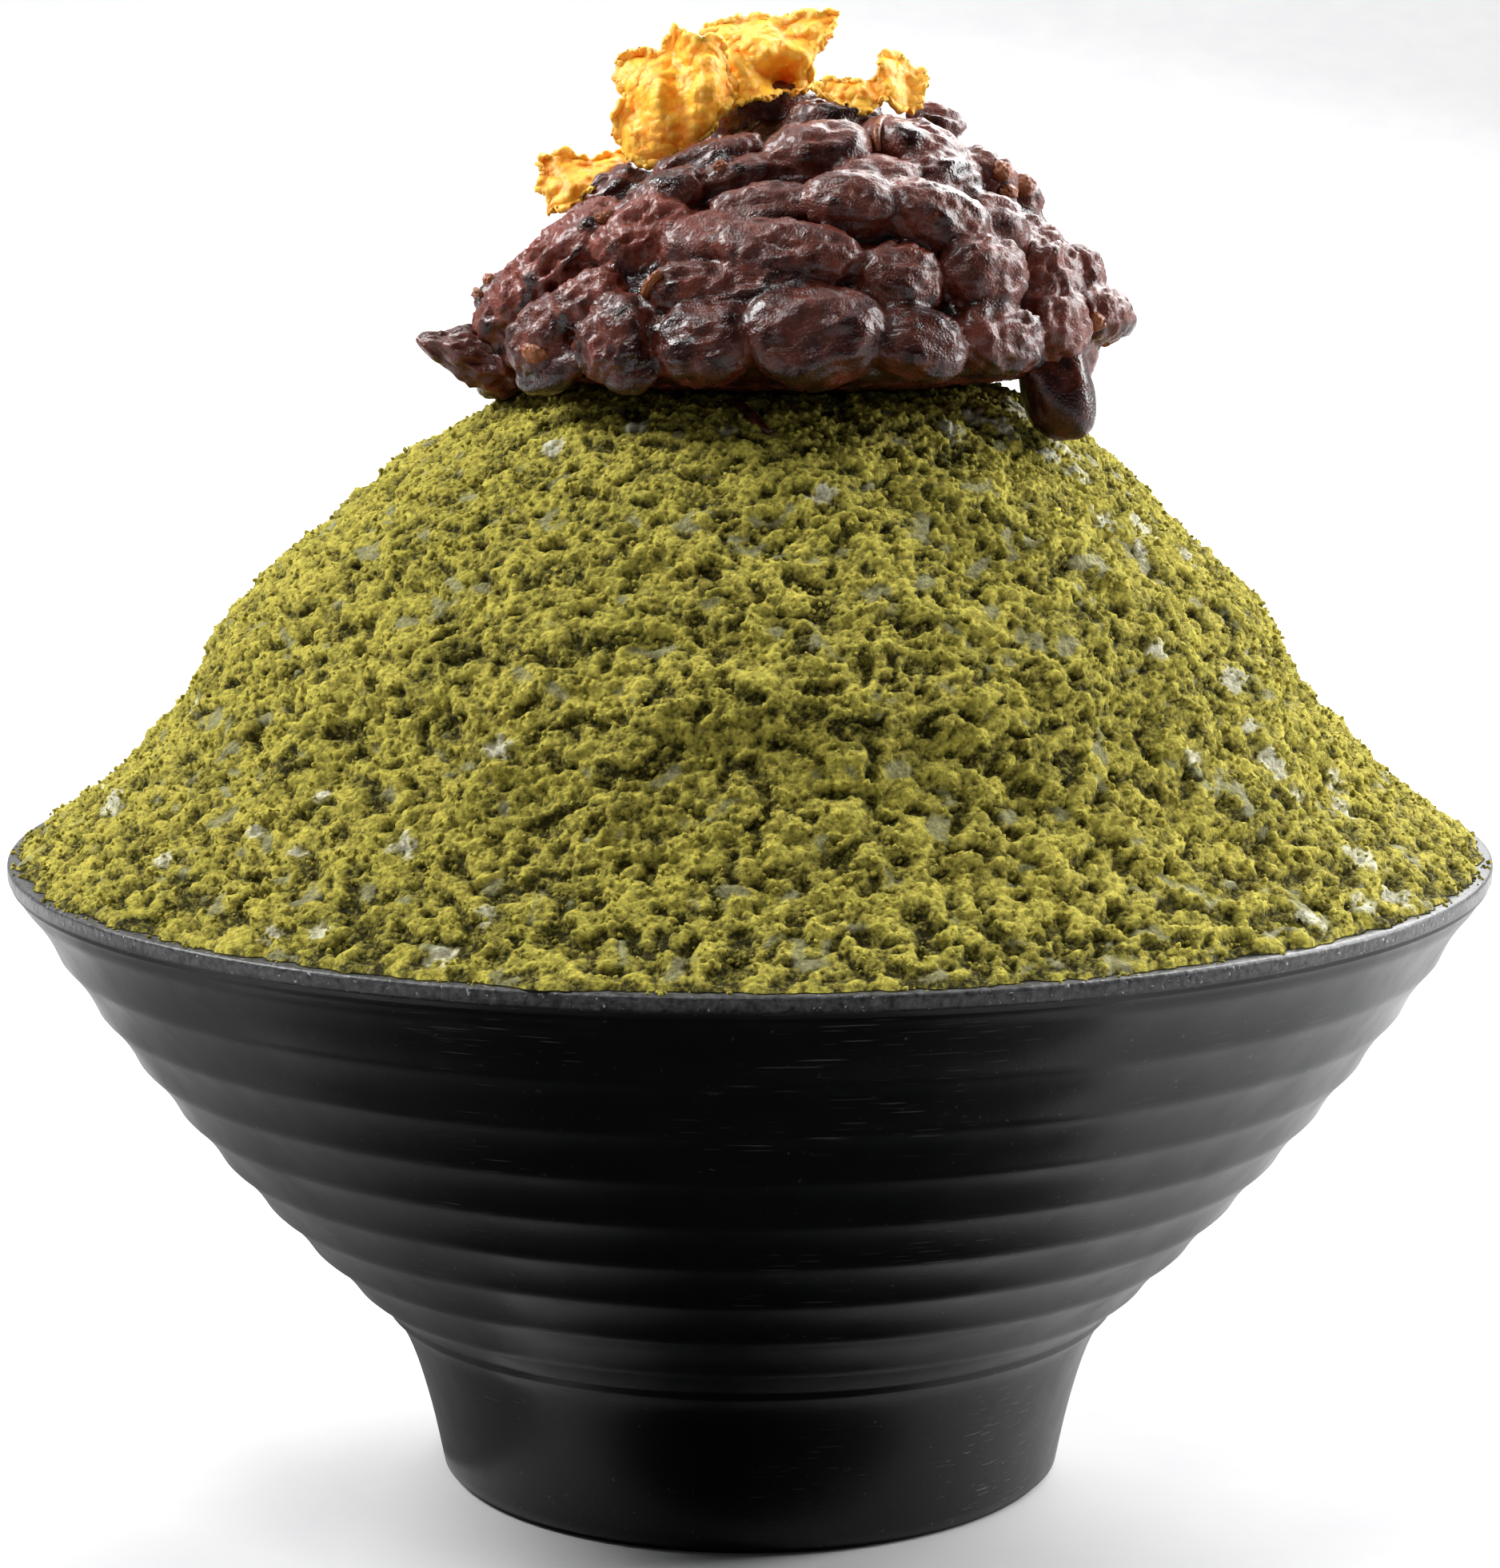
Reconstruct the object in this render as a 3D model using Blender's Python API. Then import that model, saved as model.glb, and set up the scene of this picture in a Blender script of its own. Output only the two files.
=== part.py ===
"""Green tea shaved ice, heaped in a ribbed bowl and topped with sweet red beans and corn flakes.

Blender 4.5, metres, +Z up. The origin is the centre of the ring that the bowl stands on.
"""

import math
import random

import bmesh
import bpy
from mathutils import Euler, Matrix, Vector, noise

# Bowl: the driving sizes of its turned outline.
RIM_RADIUS = 0.0800
BOWL_HEIGHT = 0.0696
LIP_BAND = 0.0016
LIP_WIDTH = 0.0032
LIP_EDGE = 0.0004
WALL = 0.0032
FOOT_RADIUS = 0.0335
FOOT_RING = 0.0030
FOOT_RECESS = 0.0095
RECESS_FILLET = 0.0024
FLOOR_THICKNESS = 0.0045
FLOOR_RADIUS = 0.0275
FOOT_OUTLINE = ((0.0341, 0.0008), (0.0354, 0.0070), (0.0371, 0.0130), (0.0388, 0.0170))
NECK = (0.0406, 0.0192)
WALL_TOP = (0.0796, 0.0676)
WALL_BULGE = 0.0022
RIB_PITCH = 0.0070
RIB_DEPTH = 0.0004
FIRST_CREST = 0.0045
BOWL_SIDES = 44

# Shaved ice: the outline of the heap, from the lip up to the flat top under the beans.
CLEARANCE = 0.0003
ICE_OUTLINE = (
    (0.0776, 0.0708),
    (0.0722, 0.0746),
    (0.0672, 0.0786),
    (0.0622, 0.0842),
    (0.0590, 0.0890),
    (0.0555, 0.0950),
    (0.0480, 0.1024),
    (0.0405, 0.1090),
    (0.0330, 0.1147),
    (0.0280, 0.1176),
    (0.0240, 0.1184),
)
ICE_ON_LIP = 0.0010
ICE_TOP = 0.1184
ICE_LEAN = 0.0020
ICE_LEAN_START = 0.1050
ICE_SIDES = 44
ICE_RELIEF = 0.0013
ICE_RELIEF_HEIGHTS = (0.0725, 0.1165)
ICE_RELIEF_FADE = 0.0050
ICE_GRAIN = 0.0085

# Red beans: a dome of beans in rings, one bean deep, on a core of bean paste.
HEAP_CENTRE = 0.0036
HEAP_LEAN = 0.0042
HEAP_BASE = 0.1188
HEAP_RADIUS = 0.0328
HEAP_HEIGHT = 0.0285
HEAP_POWER = 1.25
CORE_SIDES = 18
CORE_RISES = (0, 12, 26, 40, 54, 68, 80)
RING_STEP = 0.0072
FIRST_RING = 0.0042
BEAN_LENGTH = 0.0112
BEAN_WIDTH = 0.0078
BEAN_THICKNESS = 0.88
BEAN_BEND = 0.08
BEAN_SPACING = 0.0098
BEAN_FACETS = (6, 5)
BEAN_SEED = 7

# A bean skin full of syrup that hangs over the edge, and a torn bean that points out on the left.
DRIP_TOP = (0.0314, -0.0192, 0.1250)
DRIP_END = (0.0323, -0.0205, 0.1178)
DRIP_RADIUS = 0.0036
TAIL_CENTRE = (-0.0290, -0.0090, 0.1230)
TAIL_SIZE = (0.0120, 0.0062, 0.0056)
TAIL_TAPER = 0.9
TAIL_SLOPE = 0.25

# Corn flakes: thin wavy sheets. Each hangs between a lower and an upper edge, given in millimetres.
FLAKE_THICKNESS = 0.0009
FLAKE_SPLITS = (7, 4)
FLAKE_TAPER = 0.25
FLAKE_WAVE = 0.0009
MILLIMETRE = 0.001
FLAKES = {
    "flake_left": {
        "lower": ((-20.3, -4, 136.6), (-17.5, -4, 138.8), (-15.2, -3, 140.4), (-13.4, -1, 141.6)),
        "upper": ((-22.6, -1, 143.8), (-19.2, 0, 144.0), (-16.2, 1, 143.6), (-13.4, 2, 144.3)),
    },
    "flake_front": {
        "lower": ((-12.2, -5, 141.2), (-8.0, -6, 143.0), (-3.6, -6, 145.0), (0.5, -6, 147.0)),
        "upper": ((-14.7, -1, 153.8), (-9.8, 0, 156.2), (-5.5, 1, 156.6), (-1.8, -1, 155.4)),
    },
    "flake_top": {
        "lower": ((-3.0, -2, 146.4), (0.8, -3, 148.0), (4.0, -2, 149.0), (6.4, -1, 149.2)),
        "upper": ((-5.0, 4, 157.2), (0.5, 5, 158.3), (4.4, 5, 158.4), (9.8, 4, 158.8)),
    },
    "flake_right": {
        "lower": ((7.2, -8, 148.8), (10.8, -9, 147.4), (14.2, -8, 148.0), (17.8, -6, 147.2)),
        "upper": ((7.2, -3, 151.8), (10.6, -2, 152.6), (14.6, -1, 154.4), (19.0, -1, 152.4)),
    },
}


def material(name, colour, roughness):
    made = bpy.data.materials.new(name)
    made.use_nodes = True
    shader = made.node_tree.nodes["Principled BSDF"]
    shader.inputs["Base Color"].default_value = (*colour, 1.0)
    shader.inputs["Roughness"].default_value = roughness
    shader.inputs["Metallic"].default_value = 0.0
    return made


def add_object(name, mesh, look):
    data = bpy.data.meshes.new(name)
    mesh.to_mesh(data)
    mesh.free()
    data.materials.append(look)
    data.shade_smooth()
    made = bpy.data.objects.new(name, data)
    bpy.context.scene.collection.objects.link(made)
    return made


def smooth_curve(points, steps):
    """Catmull-Rom curve through the points, with this many steps between each two."""
    points = [Vector(p) for p in points]
    padded = [2 * points[0] - points[1], *points, 2 * points[-1] - points[-2]]
    found = []
    for a, b, c, d in zip(padded, padded[1:], padded[2:], padded[3:]):
        for step in range(steps):
            t = step / steps
            bend = (2 * b, c - a, 2 * a - 5 * b + 4 * c - d, 3 * b - a - 3 * c + d)
            found.append(0.5 * (bend[0] + bend[1] * t + bend[2] * t**2 + bend[3] * t**3))
    return [*found, points[-1]]


def turned(outline, sides):
    """A mesh turned about +Z from an outline (radius, height) that starts and ends on the axis."""
    mesh = bmesh.new()
    corners = [mesh.verts.new((radius, 0, height)) for radius, height in outline]
    edges = [mesh.edges.new(pair) for pair in zip(corners, corners[1:])]
    bmesh.ops.spin(
        mesh,
        geom=corners + edges,
        cent=(0, 0, 0),
        axis=(0, 0, 1),
        angle=math.tau,
        steps=sides,
        use_merge=True,
    )
    bmesh.ops.remove_doubles(mesh, verts=mesh.verts, dist=1e-6)
    bmesh.ops.recalc_face_normals(mesh, faces=mesh.faces)
    return mesh


def wall_arc():
    """Centre, radius and end angles of the arc that the ribbed wall follows from neck to lip."""
    start, end = Vector(NECK), Vector(WALL_TOP)
    chord = end - start
    half = chord.length / 2
    radius = (half**2 + WALL_BULGE**2) / (2 * WALL_BULGE)
    inward = Vector((-chord.y, chord.x)).normalized()
    centre = (start + end) / 2 + inward * (radius - WALL_BULGE)
    first = math.atan2(start.y - centre.y, start.x - centre.x)
    last = math.atan2(end.y - centre.y, end.x - centre.x)
    return centre, radius, first, last


def rib_offset(along):
    """Depth of the scalloped rib below its crest at this distance along the wall."""
    phase = ((along - FIRST_CREST) / RIB_PITCH) % 1.0
    return 4 * RIB_DEPTH * phase * (1 - phase)


def ribbed_wall():
    """Outside of the wall from neck to lip: the crest of each rib and the cove above it."""
    centre, radius, first, last = wall_arc()
    length = radius * (last - first)
    crests = int((length - FIRST_CREST) / RIB_PITCH) + 1
    stops = [FIRST_CREST + RIB_PITCH * (rib + share) for rib in range(crests) for share in (0, 0.5)]
    stops = [0.0, *[s for s in stops if 0.001 < s < length - 0.0008], length]
    points = []
    for along in stops:
        angle = first + along / radius
        reach = radius - rib_offset(along)
        points.append((centre.x + reach * math.cos(angle), centre.y + reach * math.sin(angle)))
    return points


def inner_wall(gap, steps):
    """Inside of the bowl from its lip down to the axis, moved inwards by a gap."""
    centre, radius, first, last = wall_arc()
    floor = FOOT_RECESS + FLOOR_THICKNESS + gap
    points = [(RIM_RADIUS - LIP_WIDTH - gap, BOWL_HEIGHT - 3 * LIP_EDGE)]
    for step in range(steps + 1):
        angle = last - (last - first) * (0.05 + 0.91 * step / steps)
        reach = radius - WALL - gap
        points.append((centre.x + reach * math.cos(angle), centre.y + reach * math.sin(angle)))
    return [*points, (FLOOR_RADIUS + WALL, floor + WALL / 3), (FLOOR_RADIUS, floor), (0.0, floor)]


def make_bowl():
    """The foot ring with its recess, the waist above it, the ribbed wall, the lip and the inside."""
    foot_inner = FOOT_RADIUS - FOOT_RING
    recess = [
        (0.0, FOOT_RECESS),
        (foot_inner - 1.4 * RECESS_FILLET, FOOT_RECESS),
        (foot_inner - 0.5 * RECESS_FILLET, FOOT_RECESS - 0.8 * RECESS_FILLET),
        (foot_inner, 0.0),
    ]
    waist = [(p.x, p.y) for p in smooth_curve((*FOOT_OUTLINE, NECK), 2)][:-1]
    lip = [
        (RIM_RADIUS, BOWL_HEIGHT - LIP_BAND),
        (RIM_RADIUS, BOWL_HEIGHT - LIP_EDGE),
        (RIM_RADIUS - LIP_EDGE, BOWL_HEIGHT),
        (RIM_RADIUS - LIP_WIDTH + LIP_EDGE, BOWL_HEIGHT),
    ]
    outline = [*recess, (FOOT_RADIUS, 0.0), *waist, *ribbed_wall(), *lip, *inner_wall(0.0, 5)]
    look = material("black_melamine", (0.015, 0.016, 0.018), 0.38)
    return add_object("bowl", turned(outline, BOWL_SIDES), look)


def make_ice():
    """The ice fills the bowl and stands over it. Its relief fades towards the lip and the beans."""
    dome = [(p.x, p.y) for p in smooth_curve(ICE_OUTLINE, 2)]
    over_lip = BOWL_HEIGHT + CLEARANCE
    lip = [(RIM_RADIUS - LIP_WIDTH + ICE_ON_LIP, over_lip), (RIM_RADIUS - LIP_WIDTH - CLEARANCE, over_lip)]
    outline = [(0.0, ICE_TOP), (0.0120, ICE_TOP), *reversed(dome), *lip, *inner_wall(CLEARANCE, 4)]
    mesh = turned(outline, ICE_SIDES)
    low, high = ICE_RELIEF_HEIGHTS
    for corner in mesh.verts:
        place = corner.co
        if low < place.z < high:
            fade = min(1.0, (place.z - low) / ICE_RELIEF_FADE, (high - place.z) / ICE_RELIEF_FADE)
            lump = noise.noise(place / ICE_GRAIN) + 0.5 * noise.noise(place / (0.4 * ICE_GRAIN))
            outward = Vector((place.x, place.y, 0.012)).normalized()
            corner.co += outward * (ICE_RELIEF * fade * lump)
        corner.co.x += ICE_LEAN * max(0.0, (corner.co.z - ICE_LEAN_START) / (ICE_TOP - ICE_LEAN_START))
    return add_object("green_tea_ice", mesh, material("green_tea_powder", (0.36, 0.33, 0.045), 0.95))


def heap_point(azimuth, rise):
    """A point on the paste core and its outward normal. rise is 0 at the base and pi / 2 on top."""
    def at(turn, lift):
        reach = HEAP_RADIUS * max(math.cos(lift), 0.0) ** HEAP_POWER
        middle = HEAP_CENTRE + HEAP_LEAN * math.sin(lift)
        height = HEAP_BASE + HEAP_HEIGHT * math.sin(lift)
        return Vector((middle + reach * math.cos(turn), reach * math.sin(turn), height))

    place = at(azimuth, rise)
    if rise > 1.5:
        return place, Vector((0, 0, 1))
    step = 0.01
    normal = (at(azimuth + step, rise) - place).cross(at(azimuth, rise + step) - place)
    return place, normal.normalized()


def bean_rings():
    """Rise and bean count of each ring, stepped along the dome's meridian."""
    rings, travelled, rise, step = [], 0.0, 0.0, 0.002
    target = FIRST_RING
    while rise < math.pi / 2:
        place, _ = heap_point(0.0, rise)
        rise += step
        travelled += (heap_point(0.0, rise)[0] - place).length
        if travelled >= target:
            reach = HEAP_RADIUS * math.cos(rise) ** HEAP_POWER
            rings.append((rise, max(1, round(math.tau * reach / BEAN_SPACING))))
            target += RING_STEP
    return rings


def bean_frames():
    """Matrix and size of each bean: it lies on the dome with its length mostly level."""
    draw = random.Random(BEAN_SEED)
    frames = []
    for ring, (rise, count) in enumerate(bean_rings()):
        for index in range(count):
            azimuth = math.tau * (index + 0.5 * (ring % 2) + draw.uniform(-0.16, 0.16)) / count
            place, normal = heap_point(azimuth, rise + draw.uniform(-0.05, 0.05))
            level = Vector((0, 0, 1)).cross(normal)
            level = level.normalized() if level.length > 0.05 else Vector((1, 0, 0))
            level.rotate(Matrix.Rotation(draw.gauss(0.0, 0.38), 3, normal))
            side = normal.cross(level).normalized()
            level = side.cross(normal)
            length = BEAN_LENGTH * draw.uniform(0.84, 1.18)
            width = BEAN_WIDTH * draw.uniform(0.88, 1.14)
            sink = draw.uniform(-0.0006, 0.0008)
            turn = Matrix((level, side, normal)).transposed().to_4x4()
            frames.append((Matrix.Translation(place + normal * sink) @ turn, length, width))
    return frames


def bean_mesh(length, width):
    """A plump bean, a little flat on the side that it lies on and bent like a kidney."""
    sides, rings = BEAN_FACETS
    lengthwise = Euler((0, math.pi / 2, 0)).to_matrix()
    mesh = bmesh.new()
    bmesh.ops.create_uvsphere(mesh, u_segments=sides, v_segments=rings, radius=0.5)
    bmesh.ops.rotate(mesh, verts=mesh.verts, cent=(0, 0, 0), matrix=lengthwise)
    for corner in mesh.verts:
        bend = BEAN_BEND * (4 * corner.co.x**2 - 0.5)
        height = corner.co.z * BEAN_THICKNESS
        corner.co = Vector((corner.co.x * length, (corner.co.y + bend) * width, height * width))
    return mesh


def keep_largest_shell(mesh):
    """Deletes sealed hollows and loose scraps that a Boolean leaves, and keeps the outer shell."""
    left, shells = set(mesh.faces), []
    while left:
        shell, queue = set(), [next(iter(left))]
        while queue:
            face = queue.pop()
            if face in shell:
                continue
            shell.add(face)
            queue += [other for edge in face.edges for other in edge.link_faces if other not in shell]
        shells.append(shell)
        left -= shell
    shells.sort(key=len)
    for shell in shells[:-1]:
        bmesh.ops.delete(mesh, geom=list(shell), context="FACES")
    loose = [corner for corner in mesh.verts if not corner.link_faces]
    bmesh.ops.delete(mesh, geom=loose, context="VERTS")


def combine(made, steps):
    """Applied Booleans of a solid with lists of others, which are then removed."""
    sets = []
    for operation, pieces in steps:
        tools = bpy.data.collections.new(f"{made.name}_{operation.lower()}")
        bpy.context.scene.collection.children.link(tools)
        for piece in pieces:
            bpy.context.scene.collection.objects.unlink(piece)
            tools.objects.link(piece)
        step = made.modifiers.new(operation.lower(), "BOOLEAN")
        step.operation = operation
        step.operand_type = "COLLECTION"
        step.collection = tools
        step.solver = "MANIFOLD"
        sets.append(tools)
    result = bpy.data.meshes.new_from_object(made.evaluated_get(bpy.context.evaluated_depsgraph_get()))
    made.modifiers.clear()
    mesh = bmesh.new()
    mesh.from_mesh(result)
    keep_largest_shell(mesh)
    mesh.to_mesh(made.data)
    mesh.free()
    for tools in sets:
        for piece in list(tools.objects):
            bpy.data.objects.remove(piece)
        bpy.data.collections.remove(tools)
    return made


def paste_core(look):
    """The paste that the beans sit in: the dome with a flat base, leaning with it."""
    rises = [math.radians(angle) for angle in CORE_RISES]
    side = [(HEAP_RADIUS * math.cos(rise) ** HEAP_POWER, HEAP_HEIGHT * math.sin(rise)) for rise in rises]
    mesh = turned([(0.0, 0.0), (0.8 * HEAP_RADIUS, 0.0), *side, (0.0, HEAP_HEIGHT)], CORE_SIDES)
    for corner in mesh.verts:
        corner.co.x += HEAP_CENTRE + HEAP_LEAN * corner.co.z / HEAP_HEIGHT
        corner.co.z += HEAP_BASE
    return add_object("red_beans", mesh, look)


def syrup_drip(look):
    """A ball pulled out into a drop with round ends."""
    mesh = bmesh.new()
    bmesh.ops.create_uvsphere(mesh, u_segments=8, v_segments=6, radius=DRIP_RADIUS)
    for corner in mesh.verts:
        corner.co += Vector(DRIP_TOP if corner.co.z > 0 else DRIP_END)
    return add_object("drip", mesh, look)


def left_tail(look):
    """A bean drawn out to a point at its left end, which is also its higher one."""
    mesh = bmesh.new()
    bmesh.ops.create_uvsphere(mesh, u_segments=8, v_segments=6, radius=0.5)
    for corner in mesh.verts:
        taper = 1.0 + TAIL_TAPER * corner.co.x
        length, width, height = TAIL_SIZE
        shape = Vector((corner.co.x * length, corner.co.y * width * taper, corner.co.z * height * taper))
        shape.z -= TAIL_SLOPE * shape.x
        corner.co = Vector(TAIL_CENTRE) + shape
    return add_object("tail", mesh, look)


def make_beans(flake_cutters):
    look = material("red_bean", (0.10, 0.028, 0.022), 0.28)
    pieces = [syrup_drip(look), left_tail(look)]
    for index, (frame, length, width) in enumerate(bean_frames()):
        mesh = bean_mesh(length, width)
        mesh.transform(frame)
        pieces.append(add_object(f"bean_{index:03d}", mesh, look))
    return combine(paste_core(look), (("UNION", pieces), ("DIFFERENCE", flake_cutters)))


def flake_sheet(edges, thickness):
    """A wavy sheet between two edges, both faces split into the same triangles."""
    across, up = FLAKE_SPLITS
    lower, upper = smooth_curve(edges["lower"], 8), smooth_curve(edges["upper"], 8)
    mesh = bmesh.new()
    bmesh.ops.create_grid(mesh, x_segments=across, y_segments=up, size=0.5)
    for corner in mesh.verts:
        u, v = corner.co.x + 0.5, corner.co.y + 0.5
        bow = math.sin(math.pi * u) ** 0.5
        v = 0.5 + (v - 0.5) * (1 - FLAKE_TAPER * (1 - bow))
        step = min(int(u * (len(lower) - 1)), len(lower) - 2)
        share = u * (len(lower) - 1) - step
        low, high = lower[step].lerp(lower[step + 1], share), upper[step].lerp(upper[step + 1], share)
        place = low.lerp(high, v) * MILLIMETRE
        place.y += FLAKE_WAVE * (math.sin(9.0 * u + 4.0 * v) + 1.6 * math.sin(math.pi * v))
        place.z += 0.6 * FLAKE_WAVE * math.cos(8.0 * u)
        corner.co = place
    bmesh.ops.triangulate(mesh, faces=mesh.faces)
    bmesh.ops.recalc_face_normals(mesh, faces=mesh.faces)
    bmesh.ops.solidify(mesh, geom=mesh.faces, thickness=thickness)
    bmesh.ops.recalc_face_normals(mesh, faces=mesh.faces)
    return mesh


def make_flakes():
    """The flakes, and a thicker copy of each that makes room for it among the beans."""
    look = material("corn_flake", (0.80, 0.42, 0.06), 0.6)
    cutters = []
    for name, edges in FLAKES.items():
        flake = add_object(name, flake_sheet(edges, FLAKE_THICKNESS), look)
        room = bmesh.new()
        room.from_mesh(flake.data)
        for corner in room.verts:
            corner.co += corner.normal * CLEARANCE * 1.4
        cutters.append(add_object(name + "_room", room, look))
    return cutters


def main():
    for thing in list(bpy.data.objects):
        bpy.data.objects.remove(thing)
    make_bowl()
    make_ice()
    make_beans(make_flakes())


main()
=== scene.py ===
# %% [markdown]
# # Green tea shaved ice with sweet red beans and corn flakes
#
# A black ribbed bowl holds a tall cone of shaved ice under sieved green tea powder. A heap of sweet
# red beans in syrup sits on top, with four corn flakes stuck into it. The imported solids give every
# size and place; this lesson dresses them. The bowl is turned, the ice is a turned cone pushed in and
# out by noise, and beans and flakes are bent one by one. All lengths are in metres. The noise that
# gives directions is seeded once, so every run makes the same shapes.

import math
import random

import bmesh
import bpy
from mathutils import Matrix, Vector, kdtree, noise
from mathutils.bvhtree import BVHTree


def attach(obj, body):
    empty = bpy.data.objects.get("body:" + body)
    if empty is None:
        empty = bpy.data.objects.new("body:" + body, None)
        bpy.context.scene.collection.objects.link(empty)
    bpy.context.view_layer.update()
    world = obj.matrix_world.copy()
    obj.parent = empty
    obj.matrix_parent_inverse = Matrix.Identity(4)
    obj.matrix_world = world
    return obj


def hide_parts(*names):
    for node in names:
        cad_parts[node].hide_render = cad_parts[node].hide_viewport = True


NOISE_SEED = 3

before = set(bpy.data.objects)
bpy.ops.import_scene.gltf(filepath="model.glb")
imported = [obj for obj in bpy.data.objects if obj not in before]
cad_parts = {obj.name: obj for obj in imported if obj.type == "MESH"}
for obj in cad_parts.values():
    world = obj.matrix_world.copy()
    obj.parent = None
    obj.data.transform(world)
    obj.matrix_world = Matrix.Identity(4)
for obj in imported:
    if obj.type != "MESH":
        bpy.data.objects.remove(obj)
noise.seed_set(NOISE_SEED)
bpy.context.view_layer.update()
MM = 0.001

# %% [markdown]
# ## The camera
#
# The object is seen from a little above the bowl's lip, through a long lens that keeps the bowl's lip
# a flat ellipse. The lens is given by its focal length in pixels of the picture, because that number
# was measured: the lip, the foot and the heap all fall on their places with it. The same numbers turn
# a place in the picture back into a line of sight, and a later cell uses it to lay each bean.

# %% Camera at the viewing angle
PICTURE = (1876, 1961)
FOCAL_PIXELS = 5356.8
SENSOR = 36.0
EYE = Vector((0.0, -0.46027, 0.1531))
LOOK_DOWN = math.radians(9.54)

camera = bpy.data.objects.new("camera", bpy.data.cameras.new("camera"))
bpy.context.scene.collection.objects.link(camera)
camera.location = EYE
camera.rotation_euler = (math.pi / 2 - LOOK_DOWN, 0.0, 0.0)
camera.data.sensor_width = SENSOR
camera.data.lens = FOCAL_PIXELS / max(PICTURE) * SENSOR
camera.data.clip_start = 0.01
bpy.context.scene.camera = camera


def sight(px, py):
    """Direction from the eye through a pixel of the picture."""
    right = (px - PICTURE[0] / 2) / FOCAL_PIXELS
    rise = (PICTURE[1] / 2 - py) / FOCAL_PIXELS
    forward = Vector((0.0, math.cos(LOOK_DOWN), -math.sin(LOOK_DOWN)))
    up = Vector((0.0, math.sin(LOOK_DOWN), math.cos(LOOK_DOWN)))
    return (forward + Vector((1, 0, 0)) * right + up * rise).normalized()


def seen_at(px, py, depth):
    """The place seen at a pixel, at this depth: its Y in metres."""
    ray = sight(px, py)
    return EYE + ray * ((depth - EYE.y) / ray.y)


print("lens", round(camera.data.lens, 1), "mm")

# %% [markdown]
# ## Floor, sky and lamps
#
# The bowl stands on a plain white sheet that curves up behind it, so no horizon shows. A sheet like
# this is one bent line pulled sideways. Two soft lamps light the object from its sides, the left one
# higher and stronger, so powder and beans are shaped by light and shade while the front of the bowl
# stays dark. A third stands behind, a weak one high in front puts a small shadow under every crumb, and
# the last brightens the sheet, which the bowl's edges mirror.

# %% Sheet under and behind the object
SHEET_HALF_WIDTH = 3.0
SHEET_LINE = ((-2.5, 0.0), (1.3, 0.0), (1.62, 0.05), (1.88, 0.18), (2.06, 0.42), (2.12, 0.75), (2.12, 3.0))


def finish_object(name, mesh, look):
    """Turns a bmesh into a smooth object of the scene with its material."""
    data = bpy.data.meshes.new(name)
    mesh.to_mesh(data)
    mesh.free()
    data.shade_smooth()
    data.materials.append(look)
    made = bpy.data.objects.new(name, data)
    bpy.context.scene.collection.objects.link(made)
    return made


def wire(tree, kind, feeds=None, **settings):
    """Adds a shader node. feeds gives its inputs: a socket is linked, anything else is set."""
    made = tree.nodes.new("ShaderNode" + kind)
    for setting, value in settings.items():
        setattr(made, setting, value)
    for place, value in (feeds or {}).items():
        if isinstance(value, bpy.types.NodeSocket):
            tree.links.new(value, made.inputs[place])
        else:
            made.inputs[place].default_value = value
    return made


def new_look(name):
    """A fresh material with its node tree and its shader."""
    look = bpy.data.materials.new(name)
    look.use_nodes = True
    return look, look.node_tree, look.node_tree.nodes["Principled BSDF"]


def shade(tree, factor, first, second):
    """The colour between two colours or colour sockets at this factor."""
    mixed = wire(tree, "Mix", {0: factor, 6: first, 7: second}, data_type="RGBA")
    return mixed.outputs[2]


def between(tree, value, low, high, start=0.0, end=1.0):
    """Stretches the values between low and high to start and end, and holds the rest."""
    feeds = {"Value": value, "From Min": low, "From Max": high, "To Min": start, "To Max": end}
    return wire(tree, "MapRange", feeds).outputs["Result"]


def sum_of(tree, operation, first, second):
    """One step of arithmetic on two values or sockets."""
    return wire(tree, "Math", {0: first, 1: second}, operation=operation).outputs[0]


def grain(tree, place, size, detail=3.0, roughness=0.6):
    """Noise whose lumps are about this many metres across."""
    feeds = {"Vector": place, "Scale": 1.0 / size, "Detail": detail, "Roughness": roughness}
    return wire(tree, "TexNoise", feeds).outputs["Fac"]


def bumps(tree, height, depth, strength=1.0, under=None):
    """A bump of this depth in metres, on top of another bump's normal where one is given."""
    feeds = {"Height": height, "Distance": depth, "Strength": strength}
    if under is not None:
        feeds["Normal"] = under
    return wire(tree, "Bump", feeds).outputs["Normal"]


paper, tree, shader = new_look("paper")
spot = wire(tree, "TexCoord").outputs["Object"]
speck = between(tree, grain(tree, spot, 0.02), 0.3, 0.7)
white = shade(tree, speck, (0.62, 0.62, 0.63, 1), (0.65, 0.65, 0.65, 1))
tree.links.new(white, shader.inputs["Base Color"])
shader.inputs["Roughness"].default_value = 0.8
mesh = bmesh.new()
line = [mesh.verts.new((-SHEET_HALF_WIDTH, y, z)) for y, z in SHEET_LINE]
edges = [mesh.edges.new(pair) for pair in zip(line, line[1:])]
pulled = bmesh.ops.extrude_edge_only(mesh, edges=edges)["geom"]
corners = [part for part in pulled if isinstance(part, bmesh.types.BMVert)]
bmesh.ops.translate(mesh, verts=corners, vec=(2 * SHEET_HALF_WIDTH, 0, 0))
bmesh.ops.recalc_face_normals(mesh, faces=mesh.faces)
floor = finish_object("floor", mesh, paper)
print("sheet of", len(floor.data.polygons), "faces")

# %% [markdown]
# A photographer who wants a black thing to look black lays black card where the thing would mirror the
# white sheet. The same is done here: a black card in front, and a grey one at the left, where the
# picture shows the bowl darker than at the right. Neither shows to the camera or throws a shadow, and
# the grey one, which lies in view, is seen by mirrored light alone.

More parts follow.
